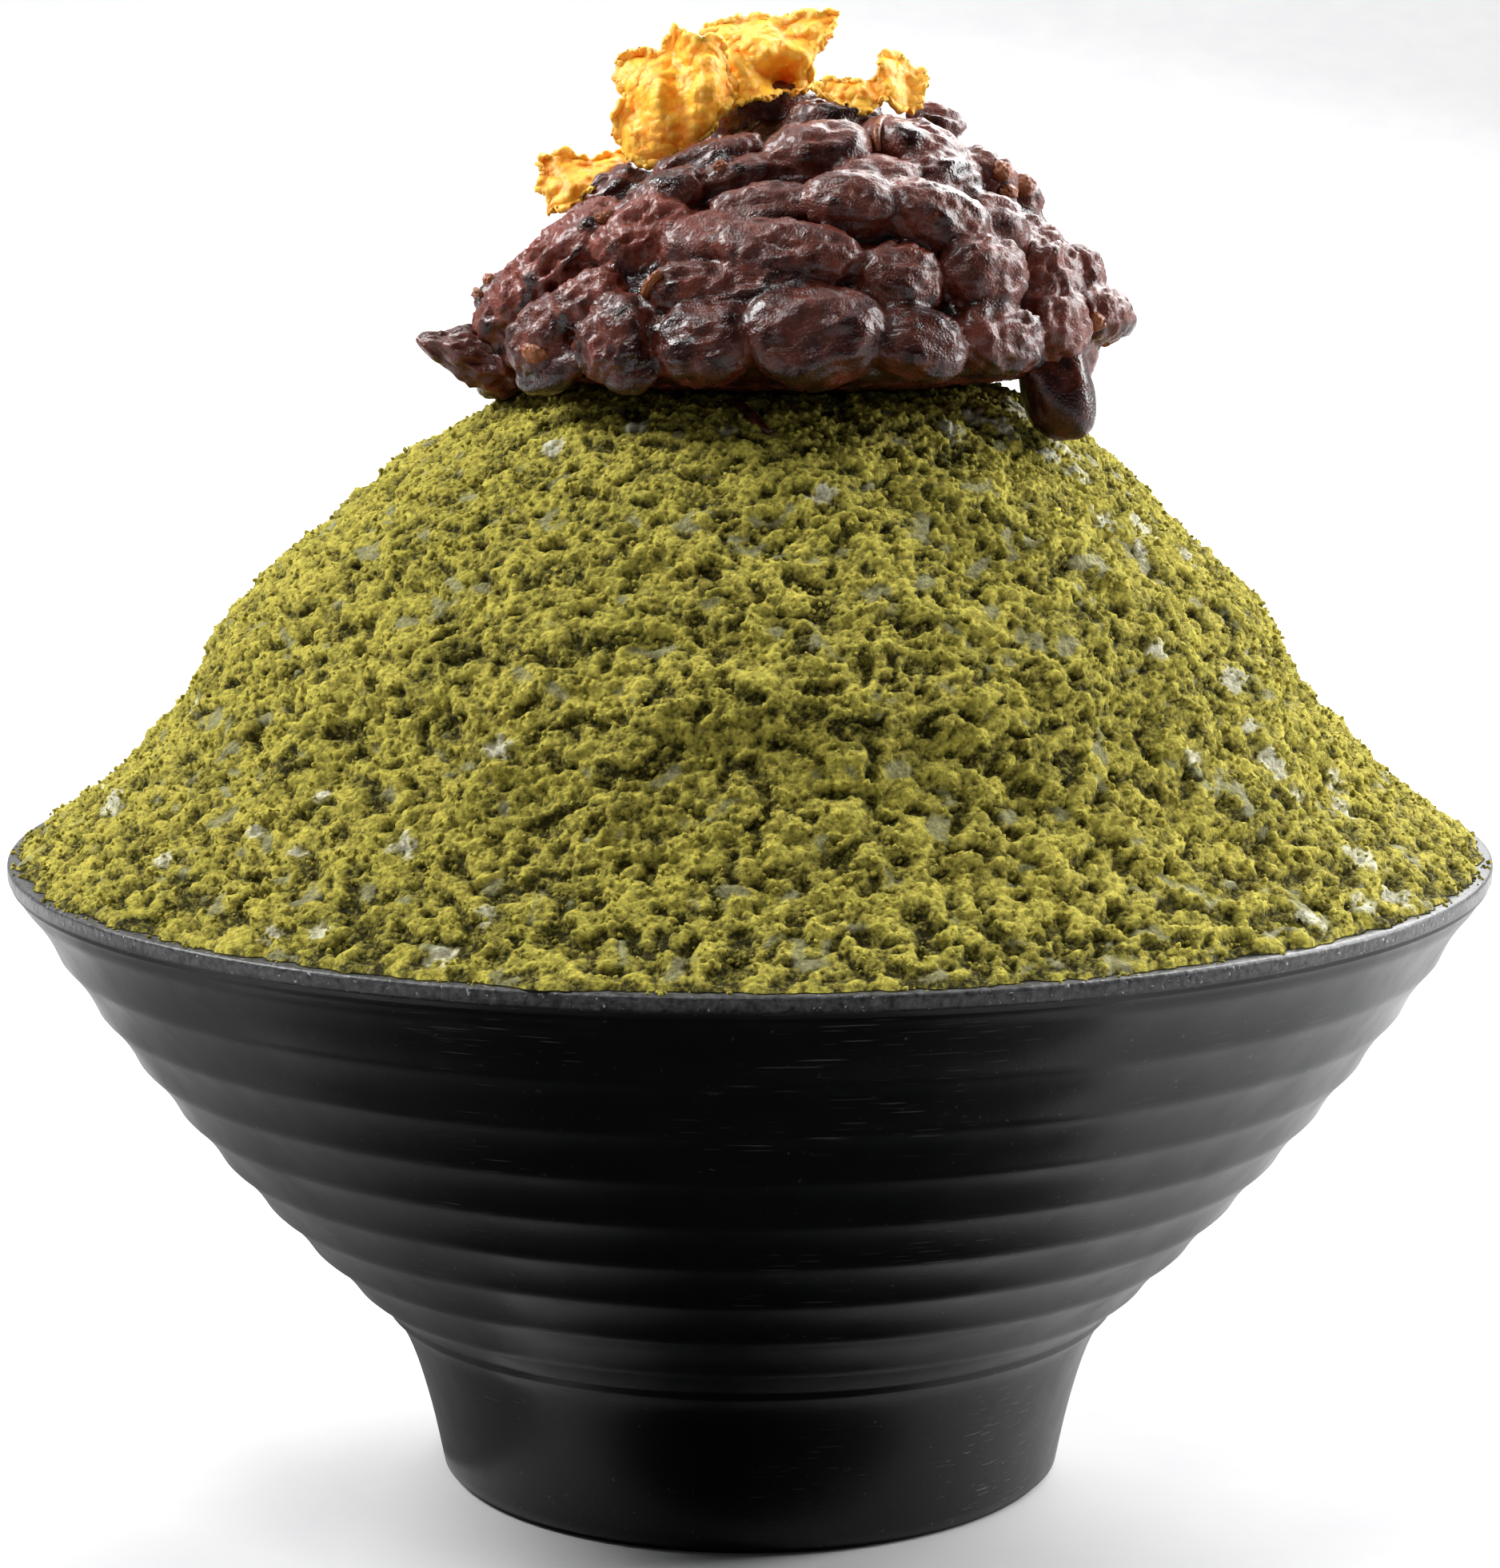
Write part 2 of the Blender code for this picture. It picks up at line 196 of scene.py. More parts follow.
# %% Cards for the bowl to mirror
CARDS = {
    "black_card": ((-0.105, 0.064), (-0.32, -0.0385), 0.004),
    "grey_card": ((-0.30, -0.035), (-0.038, 0.090), 0.21),
}
CARD_HEIGHT = 0.0004

for name, (across, along, grey) in CARDS.items():
    felt, tree, shader = new_look(name)
    nap = grain(tree, wire(tree, "TexCoord").outputs["Object"], 0.004)
    darker, lighter = (0.7 * grey,) * 3 + (1,), (1.3 * grey,) * 3 + (1,)
    tree.links.new(shade(tree, nap, darker, lighter), shader.inputs["Base Color"])
    shader.inputs["Roughness"].default_value = 1.0
    mesh = bmesh.new()
    bmesh.ops.create_grid(mesh, x_segments=1, y_segments=1, size=1.0)
    for corner in mesh.verts:
        corner.co = (across[corner.co.x > 0], along[corner.co.y > 0], CARD_HEIGHT)
    card = finish_object(name, mesh, felt)
    card.visible_camera = card.visible_shadow = False
    card.visible_diffuse = name == "black_card"
print("cards:", sorted(CARDS))

# %% Sky and lamps
LAMPS = {
    "left_lamp": ((-0.95, 0.25, 1.05), (0.50, 0.50), 28.0),
    "right_lamp": ((1.15, 0.28, 0.60), (0.50, 0.80), 25.0),
    "back_lamp": ((0.60, 1.10, 0.90), (1.20, 0.60), 29.0),
    "top_lamp": ((-0.30, -0.50, 1.25), (0.30, 0.30), 5.5),
    "sheet_lamp": ((0.0, 1.20, 2.00), (1.60, 0.40), 30.0),
}
AIM, SHEET_AIM = Vector((0.0, 0.0, 0.08)), Vector((0.0, 2.12, 0.95))

world = bpy.data.worlds.new("studio")
world.use_nodes = True
way = wire(world.node_tree, "TexCoord").outputs["Generated"]
depth = wire(world.node_tree, "SeparateXYZ", {0: way}).outputs["Y"]
backdrop = between(world.node_tree, depth, -0.7, 0.5)
sky = shade(world.node_tree, backdrop, (0.12, 0.12, 0.13, 1), (0.95, 0.97, 1.0, 1))
world.node_tree.links.new(sky, world.node_tree.nodes["Background"].inputs["Color"])
world.node_tree.nodes["Background"].inputs["Strength"].default_value = 0.30
bpy.context.scene.world = world
bpy.context.scene.view_settings.view_transform = "Standard"

for name, (place, size, power) in LAMPS.items():
    lamp = bpy.data.objects.new(name, bpy.data.lights.new(name, "AREA"))
    bpy.context.scene.collection.objects.link(lamp)
    lamp.location = place
    aim = SHEET_AIM if name == "sheet_lamp" else AIM
    lamp.rotation_euler = (aim - Vector(place)).to_track_quat("-Z", "Y").to_euler()
    lamp.data.shape = "RECTANGLE"
    lamp.data.size, lamp.data.size_y = size
    lamp.data.energy = power
print("lamps:", sorted(LAMPS))

# %% [markdown]
# ## The bowl's outline
#
# The bowl is moulded in one piece and round all over, so it is one outline turned about its axis. The
# wall from the foot to the lip follows a shallow arc. Fine ribs run round it: each is a crest with a
# shallow cove above it. Points are close together only where the outline bends, at the lip, the crests
# and the foot's edges. The numbers are those of the solid, so both have the same size.

# %% Outline of the wall
RIM_RADIUS, BOWL_HEIGHT = 0.0800, 0.0696
LIP_BAND, LIP_WIDTH, LIP_EDGE = 0.0016, 0.0032, 0.0004
WALL = 0.0032
NECK, WALL_TOP, WALL_BULGE = Vector((0.0406, 0.0192)), Vector((0.0796, 0.0676)), 0.0022
RIB_PITCH, RIB_DEPTH, FIRST_CREST = 0.0070, 0.0004, 0.0045
CREST_ROUNDING = 0.12
RIB_POINTS = 12


def smooth_curve(points, steps):
    """Catmull-Rom curve through the points, with this many steps between each two."""
    points = [Vector(p) for p in points]
    padded = [2 * points[0] - points[1], *points, 2 * points[-1] - points[-2]]
    found = []
    for a, b, c, d in zip(padded, padded[1:], padded[2:], padded[3:]):
        for step in range(steps):
            t = step / steps
            bend = (2 * b, c - a, 2 * a - 5 * b + 4 * c - d, 3 * b - a - 3 * c + d)
            found.append(0.5 * (bend[0] + bend[1] * t + bend[2] * t**2 + bend[3] * t**3))
    return [*found, points[-1]]


chord = WALL_TOP - NECK
arc_radius = ((chord.length / 2) ** 2 + WALL_BULGE**2) / (2 * WALL_BULGE)
inward = Vector((-chord.y, chord.x)).normalized()
arc_centre = (NECK + WALL_TOP) / 2 + inward * (arc_radius - WALL_BULGE)
arc_first = math.atan2(NECK.y - arc_centre.y, NECK.x - arc_centre.x)
arc_last = math.atan2(WALL_TOP.y - arc_centre.y, WALL_TOP.x - arc_centre.x)
wall_length = arc_radius * (arc_last - arc_first)


def on_arc(along, depth):
    """Point of the wall at this distance from the neck, this deep under the arc."""
    angle = arc_first + along / arc_radius
    reach = arc_radius - depth
    return (arc_centre.x + reach * math.cos(angle), arc_centre.y + reach * math.sin(angle))


def rib_depth(along):
    """Depth below the crests: a cove between crests whose tips are a little rounded."""
    phase = ((along - FIRST_CREST) / RIB_PITCH) % 1.0
    cove = 4 * phase * (1 - phase)
    return RIB_DEPTH * (math.hypot(cove, CREST_ROUNDING) - CREST_ROUNDING)


wall_steps = round(RIB_POINTS * wall_length / RIB_PITCH)
wall_places = [wall_length * step / wall_steps for step in range(wall_steps)]
wall_line = [on_arc(along, rib_depth(along)) for along in wall_places]
ribs = int((wall_length - FIRST_CREST) / RIB_PITCH) + 1
print("wall", round(wall_length / MM, 1), "mm long with", ribs, "ribs")

# %% [markdown]
# ## Turning the bowl
#
# The lip is a narrow upright band with a fine groove under it, and its top is flat with softened
# edges. The foot is a ring, hollow inside, that the bowl stands on. The whole outline is written from
# the axis under the bowl, over the foot, up the wall, over the lip and back down inside to the axis,
# and spun once. A UV map keeps the distance round the bowl and the height, so that scratches and dust
# can follow the wall.

# %% Turn the bowl
FOOT_RADIUS, FOOT_RING, FOOT_RECESS, RECESS_FILLET = 0.0335, 0.0030, 0.0095, 0.0024
FOOT_OUTLINE = ((0.0341, 0.0008), (0.0354, 0.0070), (0.0371, 0.0130), (0.0388, 0.0170))
FLOOR_THICKNESS, FLOOR_RADIUS = 0.0045, 0.0275
RING_INNER_EDGE, RING_OUTER_EDGE = 0.0005, 0.0004
LIP_GROOVE, GROOVE_STEP = 0.00022, 0.0003
BAND_BEVEL, BAND_BEVEL_RISE = 0.00012, 0.0002
BOWL_SIDES = 288
UV_RADIUS = 0.06


def rounded(corner, radius, first, last, steps=4):
    """Points of a quarter turn about a centre, from one angle in degrees to another."""
    angles = [math.radians(first + (last - first) * s / steps) for s in range(steps + 1)]
    return [(corner[0] + radius * math.cos(a), corner[1] + radius * math.sin(a)) for a in angles]


def turned(outline, sides, angle=math.tau, start=0.0):
    """A mesh turned about the upright axis from an outline of radius and height.

    Each point keeps, in the layer "order", which point of the outline it came from.
    """
    mesh = bmesh.new()
    order = mesh.verts.layers.int.new("order")
    points = [mesh.verts.new((r * math.cos(start), r * math.sin(start), z)) for r, z in outline]
    for index, point in enumerate(points):
        point[order] = index
    line = [mesh.edges.new(pair) for pair in zip(points, points[1:])]
    full = abs(angle - math.tau) < 1e-6
    bmesh.ops.spin(
        mesh, geom=points + line, cent=(0, 0, 0), axis=(0, 0, 1), angle=angle, steps=sides, use_merge=full
    )
    bmesh.ops.remove_doubles(mesh, verts=mesh.verts, dist=1e-7)
    bmesh.ops.recalc_face_normals(mesh, faces=mesh.faces)
    return mesh


def wrap_uv(mesh, radius):
    """UV in metres: distance round the axis at one radius, and height."""
    layer = mesh.loops.layers.uv.new("wrap")
    for face in mesh.faces:
        middle = face.calc_center_median()
        centre = math.atan2(middle.y, middle.x)
        for loop in face.loops:
            place = loop.vert.co
            turn = math.atan2(place.y, place.x) - centre
            turn = (turn + math.pi) % math.tau - math.pi
            loop[layer].uv = (radius * (centre + turn), place.z)


recess_side = FOOT_RADIUS - FOOT_RING
ledge = (recess_side - RECESS_FILLET, FOOT_RECESS - RECESS_FILLET)
recess = [(0.0, FOOT_RECESS), (0.012, FOOT_RECESS), *rounded(ledge, RECESS_FILLET, 90, 0, 6)]
ring = [
    *rounded((recess_side + RING_INNER_EDGE, RING_INNER_EDGE), RING_INNER_EDGE, 180, 270),
    *rounded((FOOT_RADIUS - RING_OUTER_EDGE, RING_OUTER_EDGE), RING_OUTER_EDGE, 270, 360),
]
waist = [tuple(p) for p in smooth_curve((*FOOT_OUTLINE, NECK), 6)][:-1]
groove_height = BOWL_HEIGHT - LIP_BAND - BAND_BEVEL_RISE
groove_radius = RIM_RADIUS - GROOVE_STEP
groove = [(groove_radius, groove_height - GROOVE_STEP), (groove_radius - LIP_GROOVE, groove_height)]
band = [
    (RIM_RADIUS - BAND_BEVEL, groove_height + BAND_BEVEL_RISE),
    (RIM_RADIUS, groove_height + 2 * BAND_BEVEL_RISE),
]
lip = [
    *rounded((RIM_RADIUS - LIP_EDGE, BOWL_HEIGHT - LIP_EDGE), LIP_EDGE, 0, 90),
    *rounded((RIM_RADIUS - LIP_WIDTH + LIP_EDGE, BOWL_HEIGHT - LIP_EDGE), LIP_EDGE, 90, 180),
]
inside = [on_arc(wall_length * (0.97 - 0.91 * s / 24), WALL) for s in range(25)]
bottom = FOOT_RECESS + FLOOR_THICKNESS
inside += [(FLOOR_RADIUS + WALL, bottom + WALL / 3), (FLOOR_RADIUS, bottom), (0.0, bottom)]
mesh = turned([*recess, *ring, *waist, *wall_line, *groove, *band, *lip, *inside], BOWL_SIDES)
wrap_uv(mesh, UV_RADIUS)
print("bowl:", len(mesh.faces), "faces")

# %% [markdown]
# ## The bowl's finish
#
# The bowl is black melamine with a satin skin, worn by washing. Its colour is never one flat black: a
# little dust lies on it in fine specks, the lip is rubbed to grey with small nicks, and fine scratches
# run across the wall. Each mark is noise stretched along one direction and cut off high, so only its
# peaks stay as short thin lines. The marks change roughness and height as well as colour.

# %% Satin black with wear
black, tree, shader = new_look("black_melamine")
spot = wire(tree, "TexCoord").outputs["Object"]
wrap = wire(tree, "UVMap", uv_map="wrap").outputs["UV"]


def scratches(tree, turn, length, width, amount):
    """Short thin lines along one direction on the wrapped wall, in a few patches."""
    feeds = {"Vector": wrap, "Rotation": (0, 0, turn), "Scale": (1 / length, 1 / width, 1)}
    lie = wire(tree, "Mapping", feeds).outputs["Vector"]
    line = between(tree, grain(tree, lie, 1.0, 1.0, 0.4), amount, amount + 0.05)
    patch = between(tree, grain(tree, spot, 0.022, 1.0), 0.52, 0.62)
    return sum_of(tree, "MULTIPLY", line, patch)


level_marks = scratches(tree, 0.05, 0.005, 0.00022, 0.73)
slant_marks = scratches(tree, 0.75, 0.006, 0.00020, 0.69)
marks = sum_of(tree, "MAXIMUM", level_marks, slant_marks)
height = wire(tree, "SeparateXYZ", {0: spot}).outputs["Z"]
on_lip = between(tree, height, BOWL_HEIGHT - 0.0019, BOWL_HEIGHT - 0.0012)
rub = between(tree, grain(tree, spot, 0.0007, 4.0), 0.30, 0.72)
lip_wear = sum_of(tree, "MULTIPLY", on_lip, rub)
dust = between(tree, grain(tree, spot, 0.0007, 2.0), 0.70, 0.76)
cloud = between(tree, grain(tree, spot, 0.03, 3.0), 0.35, 0.75)
tone = shade(tree, cloud, (0.0012, 0.0014, 0.0018, 1), (0.0026, 0.0029, 0.0035, 1))
tone = shade(tree, sum_of(tree, "MULTIPLY", marks, 0.55), tone, (0.11, 0.11, 0.115, 1))
tone = shade(tree, sum_of(tree, "MULTIPLY", lip_wear, 0.60), tone, (0.15, 0.15, 0.155, 1))
nick = between(tree, grain(tree, spot, 0.0005, 2.0), 0.66, 0.72, 0.0, 0.8)
tone = shade(tree, sum_of(tree, "MULTIPLY", nick, on_lip), tone, (0.45, 0.45, 0.46, 1))
tone = shade(tree, sum_of(tree, "MULTIPLY", dust, 0.30), tone, (0.20, 0.20, 0.20, 1))
tree.links.new(tone, shader.inputs["Base Color"])
gloss = between(tree, grain(tree, spot, 0.012, 4.0), 0.3, 0.7, 0.30, 0.42)
gloss = sum_of(tree, "ADD", gloss, sum_of(tree, "MULTIPLY", marks, 0.2))
tree.links.new(gloss, shader.inputs["Roughness"])
shader.inputs["Specular IOR Level"].default_value = 0.31
fine = bumps(tree, grain(tree, spot, 0.00035, 2.0), 0.00002, 0.5)
waves = bumps(tree, grain(tree, spot, 0.009, 2.0), 0.00025, 0.35, fine)
cuts = bumps(tree, sum_of(tree, "MAXIMUM", marks, lip_wear), -0.00006, 0.8, waves)
tree.links.new(cuts, shader.inputs["Normal"])

bowl = finish_object("bowl_shell", mesh, black)
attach(bowl, "root")
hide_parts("bowl")
print("bowl finished with", len(tree.nodes), "shader nodes")

# %% [markdown]
# ## The cone of ice under its powder
#
# The ice was heaped by hand and dusted through a sieve. Up close its surface is a crust of crumbly
# lumps a millimetre or two across, with dark pits between them, broken by thin patches where damp ice
# shows through grey and by a few bare white crystals. Bump mapping alone leaves the outline smooth and
# the pits unshaded, so the lumps are real shape: the cone is turned with a point every third of a
# millimetre, and each point is moved by several sizes of noise. Cells of noise round the lumps off.
# The lumps are a little flatter than they are wide, so they lie in level steps with dark undersides.

# %% Outline of the cone
CLEARANCE = 0.0003
ICE_OUTLINE = (
    (0.0776, 0.0708), (0.0722, 0.0746), (0.0672, 0.0786), (0.0622, 0.0842),
    (0.0590, 0.0890), (0.0555, 0.0950), (0.0480, 0.1024), (0.0405, 0.1090),
    (0.0330, 0.1147), (0.0280, 0.1177), (0.0240, 0.1188), (0.0185, 0.1194),
)
ICE_TOP, ICE_LEAN, ICE_LEAN_START = 0.1184, 0.0020, 0.1050
POWDER_EDGE = (0.0788, 0.0697)
POINT_STEP = 0.00031
MARCH_NEAR, MARCH_FAR, MARCH_STEP = -0.085, 0.03, 0.0002


def spaced(points, step):
    """The same line with its points about one step apart."""
    points = [Vector(p) for p in points]
    found, carried = [points[0]], 0.0
    for a, b in zip(points, points[1:]):
        gap = (b - a).length
        while gap > 0 and carried + gap >= step:
            a = a.lerp(b, (step - carried) / gap)
            found.append(a)
            gap, carried = (b - a).length, 0.0
        carried += gap
    return [*found, points[-1]]


def in_ice(place):
    """True inside the heaped cone, its crust left aside."""
    lean = ICE_LEAN * max(0.0, (place.z - ICE_LEAN_START) / (ICE_TOP - ICE_LEAN_START))
    radius = math.hypot(place.x - lean, place.y)
    for low, high in zip(ICE_OUTLINE, ICE_OUTLINE[1:]):
        if low[1] <= place.z <= high[1]:
            share = (place.z - low[1]) / (high[1] - low[1])
            return radius < low[0] + (high[0] - low[0]) * share
    return False


def meet(px, py, inside):
    """Where the line of sight through a pixel first meets a form, or None where it passes it."""
    for count in range(round((MARCH_FAR - MARCH_NEAR) / MARCH_STEP)):
        place = seen_at(px, py, MARCH_NEAR + count * MARCH_STEP)
        if inside(place):
            return place
    return None


cone_line = spaced(smooth_curve((POWDER_EDGE, *ICE_OUTLINE), 12), POINT_STEP)
print("cone outline:", len(cone_line), "points")

# %% [markdown]
# ## How the powder lies
#
# One function answers for every place on the cone: how far the crust stands up, how much powder lies
# there, how deep in a pit the place is, and whether bare ice shows. White ice shows at the places where
# the picture has it, listed one by one. The cone's points and the loose crumbs both ask it, so crumbs sit
# on the crust.

# %% Crust of powder
ICE_RELIEF, ICE_RELIEF_HEIGHTS, ICE_RELIEF_FADE, ICE_GRAIN = 0.0013, (0.0725, 0.1165), 0.0050, 0.0085
SLOPE_STRETCH = 1.3
CRUST_MIDDLE = 0.00055
ICE_REACH = 1.25
ICE_SPOTS = (
    (1328, 561, 1.3), (1351, 593, 1.2), (1384, 649, 1.5), (1423, 658, 1.5), (1480, 697, 1.6),
    (1426, 688, 1.0), (1448, 813, 1.1), (1543, 847, 1.4), (1563, 906, 0.9), (1595, 958, 1.4),
    (1677, 975, 1.4), (1491, 945, 0.9), (1628, 997, 1.2), (1683, 1007, 1.2), (1703, 1075, 1.7),
    (1745, 1118, 1.4), (1706, 1131, 1.3), (1641, 1147, 1.1), (1270, 512, 1.8), (1260, 540, 1.6),
    (1315, 570, 1.2), (1215, 515, 1.6), (1190, 540, 1.0), (910, 540, 1.0), (142, 1003, 1.5),
    (128, 985, 1.2), (200, 930, 0.8), (241, 883, 0.7), (200, 1076, 1.1), (317, 1040, 0.6),
    (368, 1061, 0.8), (397, 992, 0.8), (503, 1057, 1.2), (551, 1191, 1.3), (605, 1142, 0.9),
    (624, 934, 1.0), (397, 1164, 1.0), (335, 1164, 0.9), (1030, 620, 1.2), (690, 560, 1.0),
    (800, 530, 1.1), (1100, 900, 0.7),
)


def ease(low, high, value):
    """0 below low, 1 above high, and a smooth step between."""
    share = min(1.0, max(0.0, (value - low) / (high - low)))
    return share * share * (3 - 2 * share)


spots = kdtree.KDTree(len(ICE_SPOTS))
for index, (px, py, _) in enumerate(ICE_SPOTS):
    spots.insert(meet(px, py, in_ice) or seen_at(px, py, 0.0), index)
spots.balance()


def crust(place):
    """Height of the crust in metres, and the shares of powder, of painted pit shade and of bare ice."""
    drawn = Vector((place.x, place.y, place.z * SLOPE_STRETCH))
    drawn += noise.noise_vector(drawn / 0.0045) * 0.0012
    patch = noise.noise(drawn / 0.0046) + 0.8 * noise.noise(drawn / 0.0018)
    powder = ease(-0.80, -0.28, patch)
    lump = noise.voronoi(drawn / 0.0021)[0]
    crumb = noise.voronoi(drawn / 0.00090)[0]
    lump_top = max(0.0, 1 - 1.5 * lump[0] ** 2)
    crumb_top = max(0.0, 1 - 1.7 * crumb[0] ** 2)
    ridge = 1 - 2.4 * abs(noise.noise(drawn / 0.0040 + Vector((7, 3, 1))))
    fine = noise.noise(place / 0.00055)
    middle = noise.noise(drawn / 0.0014 + Vector((2, 9, 4)))
    # Near the lip the crust gets more holes, so it stands lower there and more shade is painted in its
    # pits.
    low = 0.24 * (1 - ease(0.0, 0.012, place.z - BOWL_HEIGHT))
    hole = ease(0.20, 0.42, noise.noise(drawn / 0.0021 + Vector((4, 4, 8))) + 0.25 * middle + low)
    raised = 0.40 * lump_top + 0.36 * crumb_top + 0.30 * ridge + 0.26 * middle + 0.34 * fine - 0.70 * hole
    height = powder * raised + (1 - powder) * (0.30 + 0.16 * crumb_top + 0.10 * fine)
    _, number, distance = spots.find(place)
    bare = 1 - distance / (ICE_REACH * ICE_SPOTS[number][2] * MM) + 0.9 * noise.noise(place / 0.0012)
    ice = ease(0.0, 0.35, bare)
    # Painted shade: the lower the crust stands, the darker its colour is painted.
    pit_shade = 1 - ease(-0.10, 0.90, raised)
    return (height + 0.12 * ice * fine) * MM, powder, pit_shade * (1 - ice), ice


def heaped(radius, height, turn):
    """The place on the heaped cone at this point of its outline and this turn round it."""
    place = Vector((radius * math.cos(turn), radius * math.sin(turn), height))
    low, high = ICE_RELIEF_HEIGHTS
    if low < height < high:
        fade = min(1.0, (height - low) / ICE_RELIEF_FADE, (high - height) / ICE_RELIEF_FADE)
        lump = noise.noise(place / ICE_GRAIN) + 0.5 * noise.noise(place / (0.4 * ICE_GRAIN))
        place += Vector((place.x, place.y, 0.012)).normalized() * (ICE_RELIEF * fade * lump)
    place.x += ICE_LEAN * max(0.0, (place.z - ICE_LEAN_START) / (ICE_TOP - ICE_LEAN_START))
    return place


def outline_normals(points):
    """Outward direction (radius, height) at each point of an outline that climbs inwards."""
    found = []
    for index in range(len(points)):
        tangent = points[min(index + 2, len(points) - 1)] - points[max(index - 2, 0)]
        found.append(Vector((tangent.y, -tangent.x)).normalized())
    return found


cone_normals = outline_normals(cone_line)
rises = [crust(heaped(p.x, p.y, 4.2))[0] / MM for p in cone_line[40:]]
print("crust from", round(min(rises), 2), "to", round(max(rises), 2), "mm")

# %% [markdown]
# ## Turning the cone in four quarters
#
# A single piece this fine would have too many triangles, so it is turned in four quarters, like a
# cake cut in four. Each starts as an open shell. A few coarse points carry on under the lip, down the
# inside of the bowl and back to the axis, and the two flat cut sides are filled, so each is closed.

# %% Shape the quarters
QUARTER_STEPS = 256
EDGE_WANDER, EDGE_REACH = 0.0012, 0.0060
CAP_RADIUS, POWDER_SEAT = 0.012, 0.00006

inner_line = [Vector(on_arc(wall_length * (0.95 - 0.90 * s / 5), WALL + CLEARANCE)) for s in range(6)]
inner_floor = bottom + CLEARANCE
inner_line += [Vector((FLOOR_RADIUS, inner_floor)), Vector((0.0, inner_floor))]
under_lip = Vector((RIM_RADIUS - LIP_WIDTH - CLEARANCE, BOWL_HEIGHT + 0.0001))


def powder_edge(turn):
    """How far the powder's edge wanders outwards or inwards on the lip at this turn."""
    way = Vector((math.cos(turn), math.sin(turn), 0.0))
    wander = noise.noise(way * 7.0) + 0.9 * noise.noise(way * 26.0) + 0.5 * noise.noise(way * 70.0)
    return EDGE_WANDER * wander


def make_quarter(index):
    """One quarter of the cone, closed, with the crust's shares kept on its points."""
    start = (index + 0.5) * math.tau / 4
    cap = [Vector((radius, ICE_OUTLINE[-1][1])) for radius in (CAP_RADIUS, 0.0)]
    outline = [*reversed(inner_line), under_lip, *cone_line, *cap]
    mesh = turned([tuple(p) for p in outline], QUARTER_STEPS, math.tau / 4, start)
    layers = [mesh.verts.layers.float.new(name) for name in ("powder", "pit_shade", "ice")]
    outline_order = mesh.verts.layers.int["order"]
    first = len(inner_line) + 1
    for corner in mesh.verts:
        radius, height = math.hypot(corner.co.x, corner.co.y), corner.co.z
        order = corner[outline_order] - first
        if not 0 <= order < len(cone_line):
            corner[layers[0]] = 1.0
            continue
        turn = math.atan2(corner.co.y, corner.co.x)
        near_edge = 1 - ease(0.0, EDGE_REACH, order * POINT_STEP)
        place = heaped(radius + powder_edge(turn) * near_edge, height, turn)
        rise, powder, pit_shade, ice = crust(place)
        way = cone_normals[order]
        push = (rise - CRUST_MIDDLE) * ease(-0.0006, 0.003, order * POINT_STEP)
        corner.co = place + Vector((way.x * math.cos(turn), way.x * math.sin(turn), way.y)) * push
        if order < 2:
            corner.co.z = BOWL_HEIGHT + POWDER_SEAT
        for layer, value in zip(layers, (powder, pit_shade, ice)):
            corner[layer] = value
    cut = [edge for edge in mesh.edges if edge.is_boundary]
    bmesh.ops.holes_fill(mesh, edges=cut, sides=0)
    for edge in cut:
        edge.smooth = False
    return mesh


quarters = [make_quarter(index) for index in range(4)]
print("quarters:", [len(quarter.verts) for quarter in quarters], "points")

# %% [markdown]
# ## The powder's finish
#
# Tea powder is dry and has no shine at all. The tops of its lumps are a bright yellow green, while
# the pits between them and the gaps between fine grains are painted almost brown, as painted shade,
# and damp powder in the thin patches is a dull grey green. The three shares stored on the points steer
# these colours, with fine noise over them, and bare crystals are glossier than the rest.

# %% Green tea powder
GRAIN_SIZE = 0.00048

tea, tree, shader = new_look("green_tea_powder")
spot = wire(tree, "TexCoord").outputs["Object"]
powder = wire(tree, "Attribute", attribute_name="powder").outputs["Fac"]
pit_shade = wire(tree, "Attribute", attribute_name="pit_shade").outputs["Fac"]
ice = wire(tree, "Attribute", attribute_name="ice").outputs["Fac"]
dry = grain(tree, spot, 0.00080, 5.0, 0.80)
drift = between(tree, grain(tree, spot, 0.011, 3.0), 0.35, 0.65)
top = shade(tree, drift, (0.70, 0.605, 0.100, 1), (0.60, 0.525, 0.080, 1))
painted_shade_colour = shade(tree, drift, (0.040, 0.034, 0.003, 1), (0.026, 0.024, 0.002, 1))
grains = wire(tree, "TexVoronoi", {"Vector": spot, "Scale": 1 / GRAIN_SIZE}).outputs["Distance"]
# Painted shade: low places of the crust and the gaps between fine grains are coloured nearly black brown,
# with random noise added to the mask.
hollow = sum_of(tree, "ADD", pit_shade, between(tree, dry, 0.34, 0.66, 0.50, -0.50))
hollow = sum_of(tree, "ADD", hollow, between(tree, grains, 0.30, 0.75, -0.10, 0.22))
tone = shade(tree, between(tree, hollow, -0.20, 1.15), top, painted_shade_colour)
damp = shade(tree, between(tree, dry, 0.38, 0.62), (0.17, 0.165, 0.060, 1), (0.34, 0.33, 0.16, 1))
tone = shade(tree, between(tree, powder, 0.60, 0.05, 0.0, 0.85), tone, damp)
crystal = shade(tree, between(tree, dry, 0.35, 0.65), (0.42, 0.40, 0.20, 1), (0.90, 0.88, 0.70, 1))
tone = shade(tree, ice, tone, crystal)
tree.links.new(tone, shader.inputs["Base Color"])
damp_gloss = between(tree, powder, 0.1, 0.5, 0.62, 0.95)
dullness = sum_of(tree, "SUBTRACT", damp_gloss, sum_of(tree, "MULTIPLY", ice, 0.25))
tree.links.new(dullness, shader.inputs["Roughness"])
shader.inputs["Specular IOR Level"].default_value = 0.25
dust_bumps = bumps(tree, dry, 0.00055, 1.0)
tree.links.new(bumps(tree, grains, -0.00022, 0.8, dust_bumps), shader.inputs["Normal"])

for index, quarter in enumerate(quarters):
    piece = finish_object(f"powdered_ice_{index + 1}", quarter, tea)
    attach(piece, "root")
    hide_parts("green_tea_ice")
print("powder finished with", len(tree.nodes), "shader nodes")

